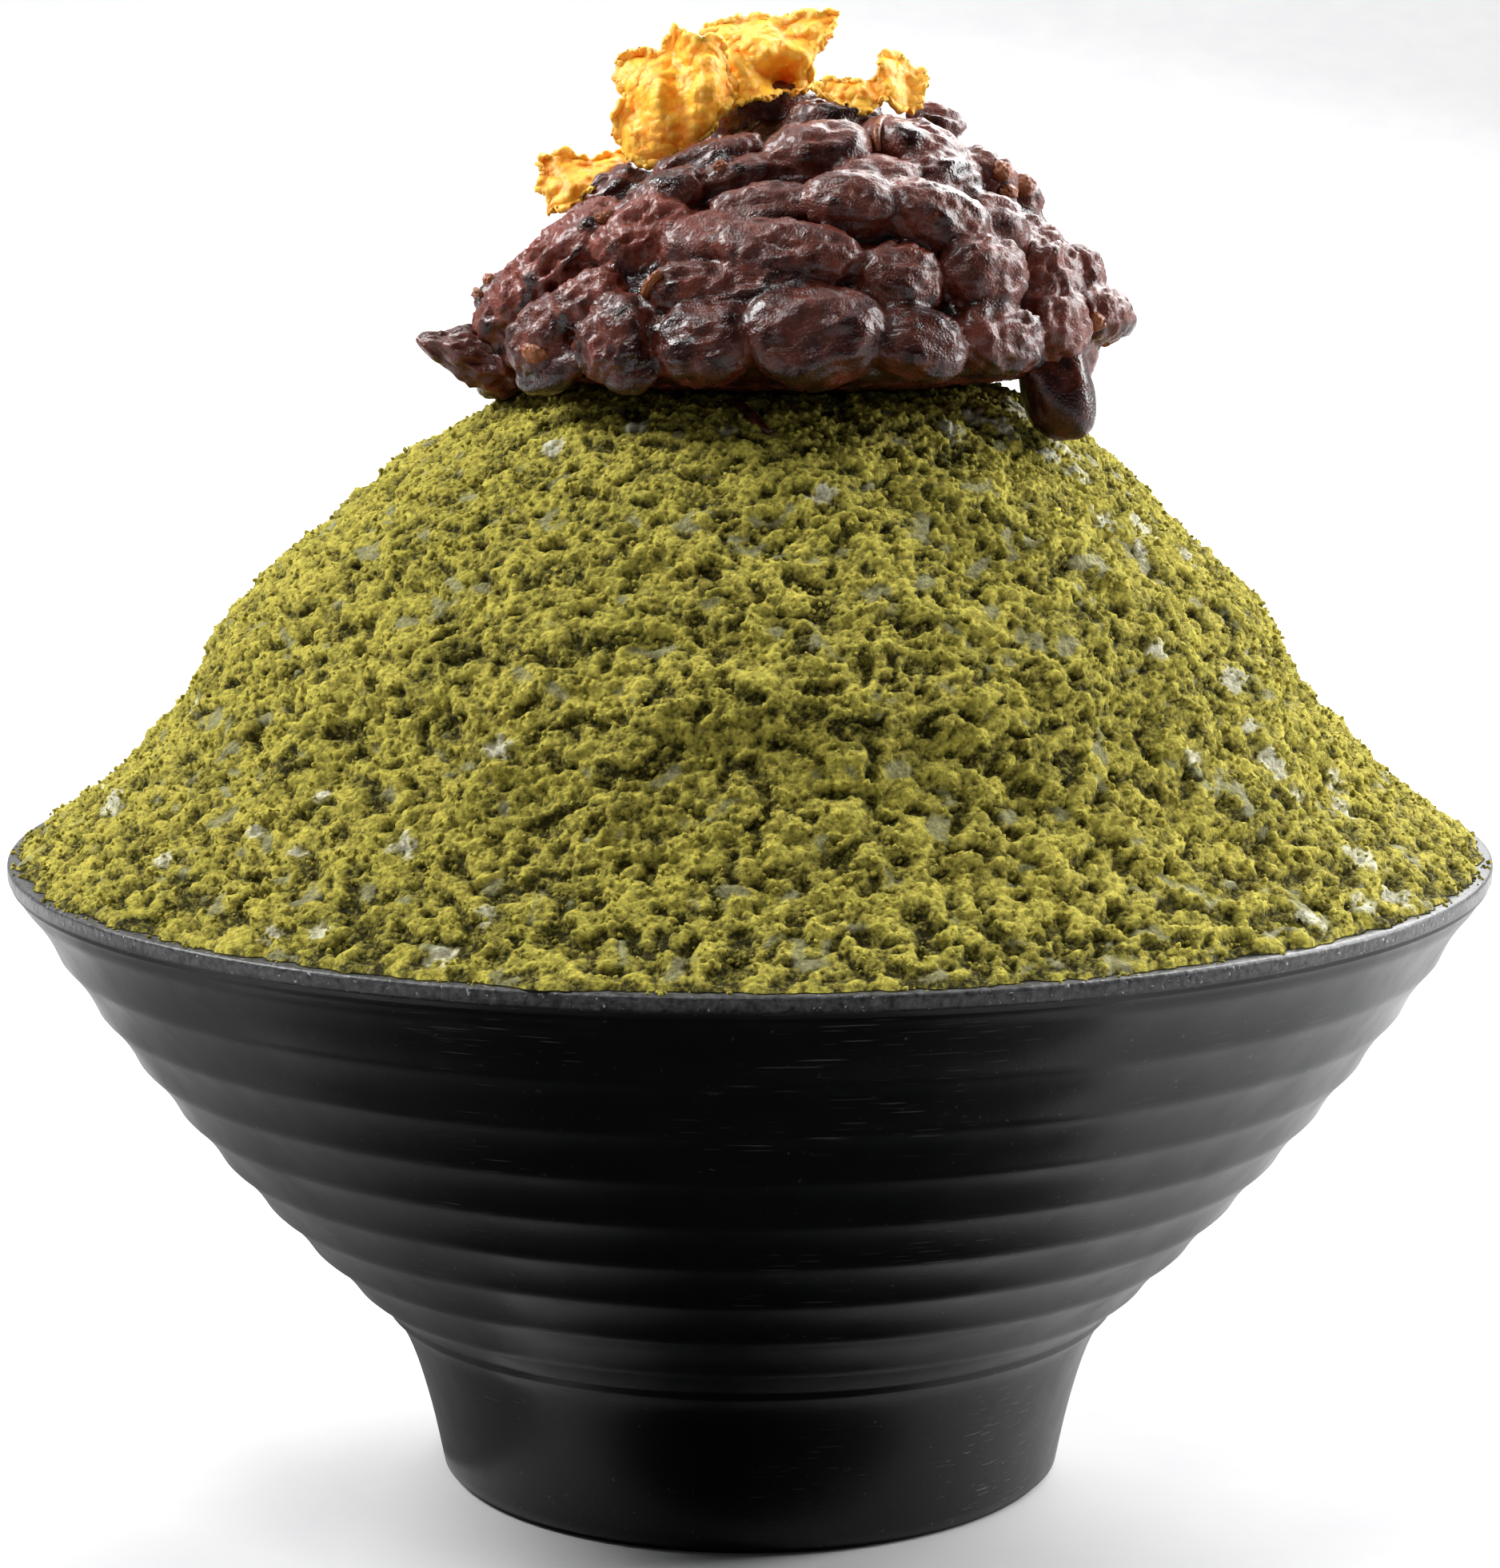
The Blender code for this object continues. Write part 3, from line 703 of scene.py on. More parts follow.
# %% [markdown]
# ## Loose crumbs
#
# Thousands of crumbs too small to be part of the crust lie on it and throw small shadows, and some have
# spilled onto the lip. Each is a ball of only twenty faces, knocked out of round. Copying one crumb
# thousands of times by hand would be slow, so the mesh is doubled again and again, and then every crumb
# is moved to its own place.

# %% Scatter the crumbs
CRUMB_DOUBLINGS = 13
CRUMB_SIZES = (0.00011, 0.00034)
CRUMB_POINTS = 12
LIP_CRUMB_SHARE = 9


def make_crumbs(side, seed):
    """A mesh of crumbs on the half of the cone towards this side: -1 at the front, 1 at the back."""
    draw = random.Random(seed)
    mesh = bmesh.new()
    layers = [mesh.verts.layers.float.new(name) for name in ("powder", "pit_shade", "ice")]
    bmesh.ops.create_icosphere(mesh, subdivisions=1, radius=1.0)
    for _ in range(CRUMB_DOUBLINGS):
        bmesh.ops.duplicate(mesh, geom=mesh.verts[:] + mesh.edges[:] + mesh.faces[:])
    mesh.verts.ensure_lookup_table()
    weights = [p.x for p in cone_line[3:]]
    orders = draw.choices(range(3, len(cone_line)), weights, k=2 ** (CRUMB_DOUBLINGS + 2))
    filled, tried = 0, 0
    while filled < len(mesh.verts):
        order, turn = orders[tried % len(orders)], side * draw.uniform(0.0, math.pi)
        tried += 1
        line_point, way = cone_line[order], cone_normals[order]
        place = heaped(line_point.x, line_point.y, turn)
        rise, powder, pit_shade, ice = crust(place)
        if tried % LIP_CRUMB_SHARE == 0:
            reach = RIM_RADIUS - draw.uniform(0.0003, 0.0030)
            place = Vector((reach * math.cos(turn), reach * math.sin(turn), BOWL_HEIGHT))
            way = Vector((0, 1))
            rise = CRUST_MIDDLE
            if noise.noise(place / 0.004) < draw.uniform(-0.2, 0.5):
                continue
        elif powder < draw.uniform(0.0, 0.9):
            continue
        outward = Vector((way.x * math.cos(turn), way.x * math.sin(turn), way.y))
        size = CRUMB_SIZES[0] + (CRUMB_SIZES[1] - CRUMB_SIZES[0]) * draw.random() ** 2
        centre = place + outward * (rise - CRUST_MIDDLE + 0.35 * size)
        angle = draw.uniform(0, math.tau)
        tilt = Matrix.Rotation(angle, 3, [draw.gauss(0, 1) for _ in range(3)])
        # Painted shade on each crumb: a little on all of them, and more, at random, where the crumb lies in
        # a pit.
        shadow = 0.15 + 0.6 * draw.random() * pit_shade
        for corner in mesh.verts[filled:filled + CRUMB_POINTS]:
            knock = size * draw.uniform(0.7, 1.35)
            corner.co = centre + tilt @ (corner.co * knock)
            corner[layers[0]] = 1.0
            corner[layers[1]] = shadow
        filled += CRUMB_POINTS
    return mesh


for name, side, seed in (("crumbs_front", -1, 3), ("crumbs_back", 1, 4)):
    piece = finish_object(name, make_crumbs(side, seed), tea)
    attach(piece, "root")
    print(name, len(piece.data.polygons), "faces")

# %% [markdown]
# ## The heap of beans
#
# Sweet red beans are simmered until they are soft, so their skins are wrinkled, some are split, and all
# hold together in syrup. The heap is a dome of bean paste with beans pressed into it. The paste is
# turned and pushed into lumps. Where the picture shows a bean, it is laid from a listed row: its pixel,
# its size in pixels and its slant give its place on the dome. Beans out of view follow rings round the
# dome.

# %% Dome under the beans
HEAP_CENTRE, HEAP_LEAN, HEAP_BASE = 0.0036, 0.0042, 0.1188
HEAP_RADIUS, HEAP_HEIGHT, HEAP_POWER = 0.0328, 0.0285, 1.25


def heap_point(azimuth, rise):
    """A point on the dome and its outward normal. rise is 0 at the base and pi / 2 on top."""
    def at(turn, lift):
        reach = HEAP_RADIUS * max(math.cos(lift), 0.0) ** HEAP_POWER
        middle = HEAP_CENTRE + HEAP_LEAN * math.sin(lift)
        height = HEAP_BASE + HEAP_HEIGHT * math.sin(lift)
        return Vector((middle + reach * math.cos(turn), reach * math.sin(turn), height))

    place = at(azimuth, rise)
    if rise > 1.5:
        return place, Vector((0, 0, 1))
    step = 0.01
    normal = (at(azimuth + step, rise) - place).cross(at(azimuth, rise + step) - place)
    return place, normal.normalized()


def in_heap(place):
    """True inside the dome of paste."""
    lift = (place.z - HEAP_BASE) / HEAP_HEIGHT
    if not -0.2 <= lift < 1.0:
        return False
    reach = HEAP_RADIUS * (1 - lift * lift) ** (HEAP_POWER / 2)
    return math.hypot(place.x - HEAP_CENTRE - HEAP_LEAN * lift, place.y) < reach


def heap_angles(place):
    """Azimuth and rise of a place on the dome."""
    lift = min(0.999, max(0.0, (place.z - HEAP_BASE) / HEAP_HEIGHT))
    middle = HEAP_CENTRE + HEAP_LEAN * lift
    return math.atan2(place.y, place.x - middle), math.asin(lift)


LARGE_FRONT_BEAN = (1019, 425)
print("the large front bean lies at", [round(v / MM, 1) for v in meet(*LARGE_FRONT_BEAN, in_heap)])

# %% [markdown]
# ## Shaping one bean
#
# A cooked bean is a plump pillow, bent a little like a kidney, with flat ends and a skin that creases
# along its length. It starts as a ball of small triangles. Noise stretched along the bean makes the
# creases and coarse noise makes it lumpy, the more so the more wrinkled it is.

# %% Bean maker
BLUNTNESS = 0.88


def bean_mesh(length, width, depth, wrinkle, seed, splits):
    """One bean along X, with this length, width and depth in metres."""
    shift = Vector((seed * 3.7, seed * 1.3, seed * 2.1))
    mesh = bmesh.new()
    bmesh.ops.create_icosphere(mesh, subdivisions=splits, radius=1.0)
    for corner in mesh.verts:
        ball = corner.co.copy()
        blunt = [math.copysign(abs(part) ** BLUNTNESS, part) for part in ball]
        place = Vector((blunt[0], blunt[1] + 0.16 * (ball.x**2 - 0.4), blunt[2]))
        warped = ball + 0.25 * noise.noise_vector(ball * 1.6 + shift)
        lump = noise.noise(ball * 1.4 + shift)
        drawn_out = Vector((warped.x * 1.3, warped.y * 3.4, warped.z * 3.4)) + shift
        crease = 0.30 - abs(noise.noise(drawn_out)) * 1.6
        dimple = noise.noise(ball * 4.0 - shift)
        crumple = noise.noise(ball * 9.0 + shift)
        swell = 1 + 0.18 * lump + wrinkle * (0.12 * crease + 0.11 * dimple + 0.045 * crumple)
        corner.co = Vector((place.x * length, place.y * width * swell, place.z * depth * swell)) / 2
    return mesh


def lay_bean(mesh, place, normal, direction):
    """Lays a bean at a place: its length along the direction, its back along the normal."""
    along = (direction - normal * direction.dot(normal)).normalized()
    turn = Matrix((along, normal.cross(along), normal)).transposed()
    mesh.transform(Matrix.Translation(place) @ turn.to_4x4())
    return turn


def gather(name, meshes, look, tones):
    """One object from many bmeshes, with a tone for each on its points."""
    whole = bmesh.new()
    tone = whole.verts.layers.float.new("tone")
    for mesh, value in zip(meshes, tones):
        own = mesh.verts.layers.float.new("tone")
        for corner in mesh.verts:
            corner[own] = value
        part = bpy.data.meshes.new("part")
        mesh.to_mesh(part)
        mesh.free()
        whole.from_mesh(part)
        bpy.data.meshes.remove(part)
    return finish_object(name, whole, look)


print("a bean has", len(bean_mesh(0.011, 0.008, 0.007, 1, 1, 5).faces), "faces")

# %% [markdown]
# ## The beans' finish
#
# The beans are a deep red brown under a film of syrup. The skin is rough in fine facets where it has
# dried, which gives broad pale pink highlights, and smooth where syrup lies on it. Two layers do this:
# a skin with small bumps, and a thin smooth coat. The tone stored on the points moves it between the
# smooth near-black gaps, dark syrup with painted shade, and light brown skin, which is rougher.

# %% Bean skin and syrup
def bean_look(name, dark, light, rough, coat):
    """A wet brown skin between two colours."""
    look, tree, shader = new_look(name)
    spot = wire(tree, "TexCoord").outputs["Object"]
    tone = wire(tree, "Attribute", attribute_name="tone").outputs["Fac"]
    mottle = grain(tree, spot, 0.0022, 4.0, 0.65)
    share = sum_of(tree, "ADD", tone, between(tree, mottle, 0.3, 0.7, -0.3, 0.3))
    colour = shade(tree, between(tree, share, 0.0, 1.0), dark, light)
    fleck = between(tree, grain(tree, spot, 0.0008, 2.0), 0.66, 0.74)
    colour = shade(tree, sum_of(tree, "MULTIPLY", fleck, 0.5), colour, (0.26, 0.085, 0.050, 1))
    tree.links.new(colour, shader.inputs["Base Color"])
    dryness = sum_of(tree, "ADD", tone, between(tree, grain(tree, spot, 0.0026, 2.0), 0.3, 0.7, -0.5, 0.5))
    tree.links.new(between(tree, dryness, 0.0, 0.8, rough[0], rough[1]), shader.inputs["Roughness"])
    shader.inputs["Specular IOR Level"].default_value = 0.30
    shader.inputs["Coat Weight"].default_value = coat
    shader.inputs["Coat Roughness"].default_value = 0.13
    shader.inputs["Subsurface Weight"].default_value = 0.12
    shader.inputs["Subsurface Radius"].default_value = (0.004, 0.001, 0.0006)
    shader.inputs["Subsurface Scale"].default_value = 0.25
    facets = wire(tree, "TexVoronoi", {"Vector": spot, "Scale": 1 / 0.00030}).outputs["Distance"]
    skin = bumps(tree, facets, 0.00010, 0.6)
    dried = between(tree, tone, 0.0, 0.3, 0.15, 1.0)
    folds = sum_of(tree, "MULTIPLY", grain(tree, spot, 0.0007, 4.0, 0.7), dried)
    skin = bumps(tree, folds, 0.00028, 0.7, skin)
    tree.links.new(skin, shader.inputs["Normal"])
    return look


bean_skin = bean_look("red_bean", (0.014, 0.002, 0.001, 1), (0.165, 0.029, 0.013, 1), (0.22, 0.44), 0.20)
husk_look = bean_look("bean_husk", (0.13, 0.030, 0.009, 1), (0.34, 0.110, 0.028, 1), (0.25, 0.40), 0.2)
print("bean finishes:", bean_skin.name, husk_look.name)

# %% [markdown]
# ## Beans that the picture shows
#
# Each row is one bean: its middle in pixels, its length and height in pixels, its slant in degrees,
# how wrinkled it is and its tone. The dome turns a pixel into a place and an outward direction.

# %% Lay the beans in view
# The tone column follows how light each bean looks, so it is partly the bean's own colour and partly
# painted light: the low beans at the front bottom of the heap get a dark tone as painted shade, and the
# mashed beans at the upper left a light one as painted highlight.
SHOWN_BEANS = (
    (1018, 422, 146, 104, 8, 0.7, 0.3), (1142, 434, 108, 76, -2, 0.9, 0.3),
    (1240, 426, 112, 72, 2, 1.5, 0.45), (1312, 405, 90, 80, 30, 1.5, 0.6),
    (1352, 400, 60, 96, 75, 1.5, 0.6), (885, 430, 112, 94, 6, 1.0, 0.3),
    (780, 428, 96, 92, 70, 1.7, 0.4), (690, 426, 90, 80, 40, 1.4, 0.5),
    (692, 464, 104, 44, 0, 0.7, 0.2), (796, 474, 62, 38, 0, 0.7, 0.2),
    (640, 404, 66, 70, 60, 1.7, 0.6), (940, 362, 186, 54, 5, 1.7, 0.5),
    (858, 366, 80, 56, 8, 1.5, 0.5), (985, 324, 152, 70, -12, 1.1, 0.45),
    (1122, 355, 96, 82, 10, 1.2, 0.4), (1222, 352, 98, 86, 4, 1.2, 0.5),
    (1306, 345, 84, 80, 20, 1.5, 0.6), (1336, 348, 60, 68, 80, 1.6, 0.6),
    (955, 267, 112, 60, 0, 1.0, 0.5), (1062, 268, 104, 78, 6, 1.0, 0.5),
    (1160, 284, 126, 80, -12, 1.3, 0.5), (1240, 290, 76, 74, -20, 1.2, 0.5),
    (1295, 316, 76, 62, -20, 1.5, 0.6), (1024, 202, 112, 78, 18, 0.9, 0.6),
    (1140, 197, 120, 92, -4, 0.9, 0.6), (1226, 228, 74, 72, -30, 1.3, 0.5),
    (957, 157, 116, 76, 0, 0.9, 0.5), (1050, 148, 84, 54, -8, 1.2, 0.4),
    (1166, 166, 62, 44, -30, 1.3, 0.5), (1268, 246, 60, 54, -50, 1.4, 0.7),
    (890, 214, 120, 52, 12, 1.5, 0.45), (838, 258, 96, 56, 14, 1.8, 0.5),
    (772, 248, 80, 56, 24, 1.7, 0.5), (722, 322, 150, 96, 14, 2.2, 1.2),
    (806, 300, 110, 80, 20, 2.2, 1.1), (668, 372, 88, 72, 30, 2.2, 1.0),
    (744, 384, 88, 60, 10, 2.0, 0.8), (930, 226, 84, 46, 0, 1.5, 0.45),
    (1330, 438, 88, 50, -14, 1.5, 0.45), (640, 380, 56, 58, 40, 2.0, 0.7),
)
BEAN_LIFT, LIFT_SPREAD, BEAN_ROLL = 0.0009, 0.0006, 0.16
BEAN_SWELL, BEAN_FLATNESS = 1.20, 0.76

draw = random.Random(5)
shown, laid, laid_tones = [], [], []
for index, (px, py, long, high, slant, wrinkle, tone) in enumerate(SHOWN_BEANS):
    place = meet(px, py, in_heap) or seen_at(px, py, 0.0)
    _, normal = heap_point(*heap_angles(place))
    per_pixel = (place - EYE).length / FOCAL_PIXELS * BEAN_SWELL
    slope = math.radians(slant)
    direction = Vector((math.cos(slope), 0, math.sin(slope)))
    size = Vector((long, high, BEAN_FLATNESS * high)) * per_pixel
    middle = place + normal * (BEAN_LIFT + draw.uniform(-1, 1) * LIFT_SPREAD)
    normal.rotate(Matrix.Rotation(draw.gauss(0, BEAN_ROLL), 3, direction))
    mesh = bean_mesh(*size, wrinkle, index + 1, 5)
    turn = lay_bean(mesh, middle, normal, direction)
    shown.append(mesh)
    laid.append((middle, turn, size / 2, wrinkle))
    laid_tones.append(tone)
print(len(shown), "beans in view")

# %% [markdown]
# ## Beans round the back and the paste between
#
# The rest of the dome gets the rings of the solid, with a bean left out near each listed one. At the
# two sides, where the picture gives the outline of the heap, the beans are pressed deeper in. The
# paste fills what the beans leave open: the dome itself, turned finely and pushed into lumps the size of
# half-buried beans. It is tucked in below, where the heap stands out over the ice.

# %% Ring beans
RING_STEP, FIRST_RING = 0.0072, 0.0042
BEAN_LENGTH, BEAN_WIDTH, BEAN_SPACING = 0.0112, 0.0078, 0.0098
BEAN_SEED = 7
RING_SWELL, RING_LIFT, SIDE_SINK = 0.98, -0.0006, 0.0024
SHOWN_CLEARANCE = 0.0054


def bean_rings():
    """Rise and bean count of each ring, stepped along the dome's meridian."""
    rings, travelled, rise, step = [], 0.0, 0.0, 0.002
    target = FIRST_RING
    while rise < math.pi / 2:
        place, _ = heap_point(0.0, rise)
        rise += step
        travelled += (heap_point(0.0, rise)[0] - place).length
        if travelled >= target:
            reach = HEAP_RADIUS * math.cos(rise) ** HEAP_POWER
            rings.append((rise, max(1, round(math.tau * reach / BEAN_SPACING))))
            target += RING_STEP
    return rings


draw = random.Random(BEAN_SEED)
hidden = []
for ring, (rise, count) in enumerate(bean_rings()):
    for index in range(count):
        azimuth = math.tau * (index + 0.5 * (ring % 2) + draw.uniform(-0.16, 0.16)) / count
        place, normal = heap_point(azimuth, rise + draw.uniform(-0.05, 0.05))
        level = Vector((0, 0, 1)).cross(normal)
        level = level.normalized() if level.length > 0.05 else Vector((1, 0, 0))
        level.rotate(Matrix.Rotation(draw.gauss(0.0, 0.38), 3, normal))
        length = BEAN_LENGTH * draw.uniform(0.84, 1.18)
        width = BEAN_WIDTH * draw.uniform(0.88, 1.14)
        sink = draw.uniform(-0.0006, 0.0008)
        wrinkle, tone = draw.uniform(0.7, 1.8), draw.uniform(0.3, 0.7)
        if min((place - bean[0]).length for bean in laid[:len(SHOWN_BEANS)]) < SHOWN_CLEARANCE:
            continue
        size = Vector((length, width, 0.84 * width)) * RING_SWELL
        middle = place + normal * (sink + RING_LIFT - SIDE_SINK * abs(math.cos(azimuth)) ** 6)
        mesh = bean_mesh(*size, wrinkle, 50 + len(hidden), 4)
        turn = lay_bean(mesh, middle, normal, level)
        hidden.append(mesh)
        laid.append((middle, turn, size / 2, wrinkle))
        laid_tones.append(tone)
print(len(hidden), "beans round the back")

# %% Paste between the beans
PASTE_SIDES, PASTE_RINGS = 200, 80
PASTE_LIFT, PASTE_FOOT, PASTE_TUCK = 0.0004, 0.0046, 0.0180

side = []
for step in range(PASTE_RINGS):
    rise = math.pi / 2 * step / PASTE_RINGS
    height = HEAP_HEIGHT * math.sin(rise)
    tuck = PASTE_TUCK * (1 - ease(0.0, PASTE_FOOT, height)) ** 2
    side.append((HEAP_RADIUS * math.cos(rise) ** HEAP_POWER - tuck, height))
paste = turned([(0.0, 0.0), *side, (0.0, HEAP_HEIGHT)], PASTE_SIDES)
for corner in paste.verts:
    lift = corner.co.z / HEAP_HEIGHT
    outward = Vector((corner.co.x, corner.co.y, 0.6 * corner.co.z)).normalized()
    corner.co += Vector((HEAP_CENTRE + HEAP_LEAN * lift, 0.0, HEAP_BASE))
    lump = noise.voronoi(corner.co / 0.0058)[0]
    push = 0.0016 * (0.55 - lump[0]) + 0.0006 * noise.noise(corner.co / 0.0021) + PASTE_LIFT
    if lift > 0.001:
        corner.co += outward * push
print("paste:", len(paste.faces), "faces")

# %% [markdown]
# ## One skin over beans and paste
#
# Cooked beans stick together: their skins touch, and syrup rounds off the gaps. So beans and paste are
# joined and wrapped in one skin by a remesh modifier, which builds new small faces over everything, and
# a smooth modifier rounds off the gaps. After that each point asks which bean it lies on. That bean's
# length gives the direction of fine creases, and the distance from the bean tells the gaps, which are
# coloured near black: dark syrup stands there, with painted shade on top. Further off, where no bean
# lies, the paste itself shows as mashed bean.

# %% Wrap the heap
SKIN_VOXEL, SKIN_ROUNDS = 0.00043, 1
CREASE_DEPTH, CREASE_LENGTH, CREASE_WIDTH = 0.00055, 0.0052, 0.0013
SYRUP_AND_SHADE_START, SYRUP_AND_SHADE_FULL = 0.98, 1.30
MASH_START, MASH_FULL = 1.35, 1.75


def evaluated_mesh(holder):
    """A bmesh of an object with its modifiers done. The object itself is removed."""
    shaped = holder.evaluated_get(bpy.context.evaluated_depsgraph_get())
    data = bpy.data.meshes.new_from_object(shaped)
    bpy.data.objects.remove(holder)
    mesh = bmesh.new()
    mesh.from_mesh(data)
    bpy.data.meshes.remove(data)
    return mesh


joined = gather("joined_beans", [*shown, *hidden, paste], bean_skin, [0.5] * (len(laid) + 1))
wrap = joined.modifiers.new("wrap", "REMESH")
wrap.mode = "VOXEL"
wrap.voxel_size = SKIN_VOXEL
soften = joined.modifiers.new("soften", "SMOOTH")
soften.factor = 0.5
soften.iterations = SKIN_ROUNDS
skin = evaluated_mesh(joined)
middles = kdtree.KDTree(len(laid))
for index, bean in enumerate(laid):
    middles.insert(bean[0], index)
middles.balance()
tone = skin.verts.layers.float.new("tone")
skin.normal_update()
for corner in skin.verts:
    nearest, share = 0, 9.0
    for _, number, _ in middles.find_n(corner.co, 4):
        middle, turn, size, _ = laid[number]
        local = turn.transposed() @ (corner.co - middle)
        out = math.sqrt(sum((part / half) ** 2 for part, half in zip(local, size)))
        if out < share:
            nearest, share, own = number, out, local
    wrinkle = laid[nearest][3]
    way = Vector((own.x / CREASE_LENGTH, own.y / CREASE_WIDTH, own.z / CREASE_WIDTH))
    way += 0.5 * noise.noise_vector(corner.co / 0.003)
    crease = 0.25 - abs(noise.noise(way + Vector((nearest * 3.1, 0, 0))))
    torn = noise.noise(corner.co / 0.0011) + 0.6 * noise.noise(corner.co / 0.0006)
    # Near black in the gaps between beans: dark syrup, with painted shade added to it.
    syrup_and_gap_shade = ease(SYRUP_AND_SHADE_START, SYRUP_AND_SHADE_FULL, share) - 0.8 * ease(MASH_START, MASH_FULL, share)
    push = wrinkle * (CREASE_DEPTH * crease + 0.00018 * torn) * (1 - syrup_and_gap_shade)
    skin_tone = laid_tones[nearest] + 0.6 * max(0.0, crease) * wrinkle
    corner[tone] = skin_tone * (1 - syrup_and_gap_shade) - 0.25 * syrup_and_gap_shade
    corner.co += corner.normal * push
surface = BVHTree.FromBMesh(skin)
heap = finish_object("bean_heap", skin, bean_skin)
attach(heap, "root")
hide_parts("red_beans")
print("heap:", len(heap.data.polygons), "faces")

# %% [markdown]
# ## Drip, torn bean and curls of skin
#
# A skin full of syrup hangs over the ice on the right, and a torn bean points out to the left. Small
# bits of husk lie about the heap, lighter and more orange than the skins, and two thin curls of skin
# stand off. Drops and bits are stretched balls; a curl is a tube along a short curve that gets thinner
# towards its ends.

# %% Drip and torn bean
DRIP_TOP, DRIP_END = Vector((0.0312, -0.0165, 0.1222)), Vector((0.0325, -0.0172, 0.1187))
DRIP_RADIUS, DRIP_BLUNTNESS = 0.0038, 0.8
TAIL_CENTRE, TAIL_SIZE = Vector((-0.0290, -0.0090, 0.1230)), (0.0122, 0.0064, 0.0058)
TAIL_TAPER, TAIL_SLOPE = 0.9, 0.25

drip = bmesh.new()
bmesh.ops.create_uvsphere(drip, u_segments=64, v_segments=48, radius=DRIP_RADIUS)
for corner in drip.verts:
    share = ease(-1.0, 1.0, corner.co.z / DRIP_RADIUS)
    blunt = [math.copysign(abs(part / DRIP_RADIUS) ** DRIP_BLUNTNESS, part) for part in corner.co]
    corner.co = Vector(blunt) * DRIP_RADIUS
    wobble = 1 + 0.16 * noise.noise(corner.co / 0.003) + 0.03 * noise.noise(corner.co / 0.001)
    corner.co = corner.co * wobble + DRIP_END.lerp(DRIP_TOP, share)
tail = bmesh.new()
bmesh.ops.create_icosphere(tail, subdivisions=5, radius=0.5)
for corner in tail.verts:
    ball = corner.co.copy()
    taper = 1.0 + TAIL_TAPER * ball.x
    length, width, height = TAIL_SIZE
    rough = 1 + 0.40 * noise.noise(ball * 4) + 0.22 * noise.noise(ball * 9) + 0.08 * noise.noise(ball * 20)
    shape = Vector((ball.x * length, ball.y * width * taper * rough, ball.z * height * taper * rough))
    shape.z -= TAIL_SLOPE * shape.x
    corner.co = TAIL_CENTRE + shape
ends = gather("drip_and_torn_bean", [drip, tail], bean_skin, [0.10, 0.45])
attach(ends, "root")
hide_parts("red_beans")
print("drip and torn bean:", len(ends.data.polygons), "faces")

# %% Bits of husk
HUSKS = (
    (646, 311, 42, 38, 60), (755, 271, 24, 20, 20), (901, 208, 20, 15, -10), (667, 442, 26, 44, 80),
    (813, 356, 46, 14, 30), (1254, 212, 26, 34, 70), (1264, 240, 18, 40, 80), (1281, 230, 30, 36, 70),
    (1366, 402, 26, 34, 80), (585, 372, 12, 30, 60), (598, 366, 12, 30, 50), (612, 350, 20, 26, 40),
)

HUSK_SINK = 0.0003

bits, bit_tones = [], []
for index, (px, py, long, high, slant) in enumerate(HUSKS):
    place, normal = surface.ray_cast(EYE, sight(px, py))[:2]
    if place is None:
        place, normal = surface.find_nearest(seen_at(px, py, -0.004))[:2]
    per_pixel = (place - EYE).length / FOCAL_PIXELS
    direction = Vector((math.cos(math.radians(slant)), 0, math.sin(math.radians(slant))))
    mesh = bean_mesh(long * per_pixel, high * per_pixel * 0.8, 0.0018, 1.8, 200 + index, 4)
    lay_bean(mesh, place - normal * HUSK_SINK, normal, direction)
    bits.append(mesh)
    bit_tones.append(0.5)
husks = gather("bean_husks", bits, husk_look, bit_tones)
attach(husks, "root")
print(len(HUSKS), "bits of husk")

# %% Curls of skin
CURLS = {
    "skin_curl_on_ice": (
        in_ice, 0.0006, 0.00055, ((896, 508), (910, 502), (926, 508), (938, 520), (948, 530), (963, 541)),
    ),
    "skin_curl_on_bean": (
        None, 0.0009, 0.00045, ((1113, 136), (1102, 146), (1096, 160), (1095, 176), (1099, 190)),
    ),
}
CURL_DEPTH = -0.008


def make_curl(name, inside, lift, thickness, pixels, look):
    """A tube that follows pixels over a form and thins out towards both ends."""
    curve = bpy.data.curves.new(name, "CURVE")
    curve.dimensions = "3D"
    curve.bevel_depth = thickness
    curve.bevel_resolution = 4
    curve.use_fill_caps = True
    points = []
    for px, py in pixels:
        place = meet(px, py, inside) if inside else surface.ray_cast(EYE, sight(px, py))[0]
        place = place or surface.find_nearest(seen_at(px, py, CURL_DEPTH))[0]
        points.append(place - sight(px, py) * lift)
    line = curve.splines.new("NURBS")
    line.points.add(len(points) - 1)
    line.use_endpoint_u = True
    line.order_u = 4
    line.resolution_u = 8
    for order, (point, place) in enumerate(zip(line.points, points)):
        point.co = (*place, 1.0)
        point.radius = 0.35 + 0.75 * math.sin(math.pi * (order + 0.5) / len(points))
    holder = bpy.data.objects.new(name, curve)
    bpy.context.scene.collection.objects.link(holder)
    mesh = evaluated_mesh(holder)
    bmesh.ops.remove_doubles(mesh, verts=mesh.verts, dist=1e-7)
    for corner in mesh.verts:
        corner.co += noise.noise_vector(corner.co / 0.0012) * 0.0001
    bmesh.ops.recalc_face_normals(mesh, faces=mesh.faces)
    return gather(name, [mesh], look, [0.3])


for name, (inside, lift, thickness, pixels) in CURLS.items():
    look = bean_skin if inside is in_ice else husk_look
    curl = make_curl(name, inside, lift, thickness, pixels, look)
    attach(curl, "root")
    print(name, len(curl.data.polygons), "faces")

# %% [markdown]
# ## Corn flakes
#
# A corn flake is a rolled and toasted scrap: a thin brittle sheet, wavy, with rounded blisters and
# a torn edge. Each one is a flat grid bent over a net of a few given points, row by row from its
# lower edge to its upper one, so that its outline matches the picture. Noise crumples it and raises the
# blisters, and solidify gives it its thickness.

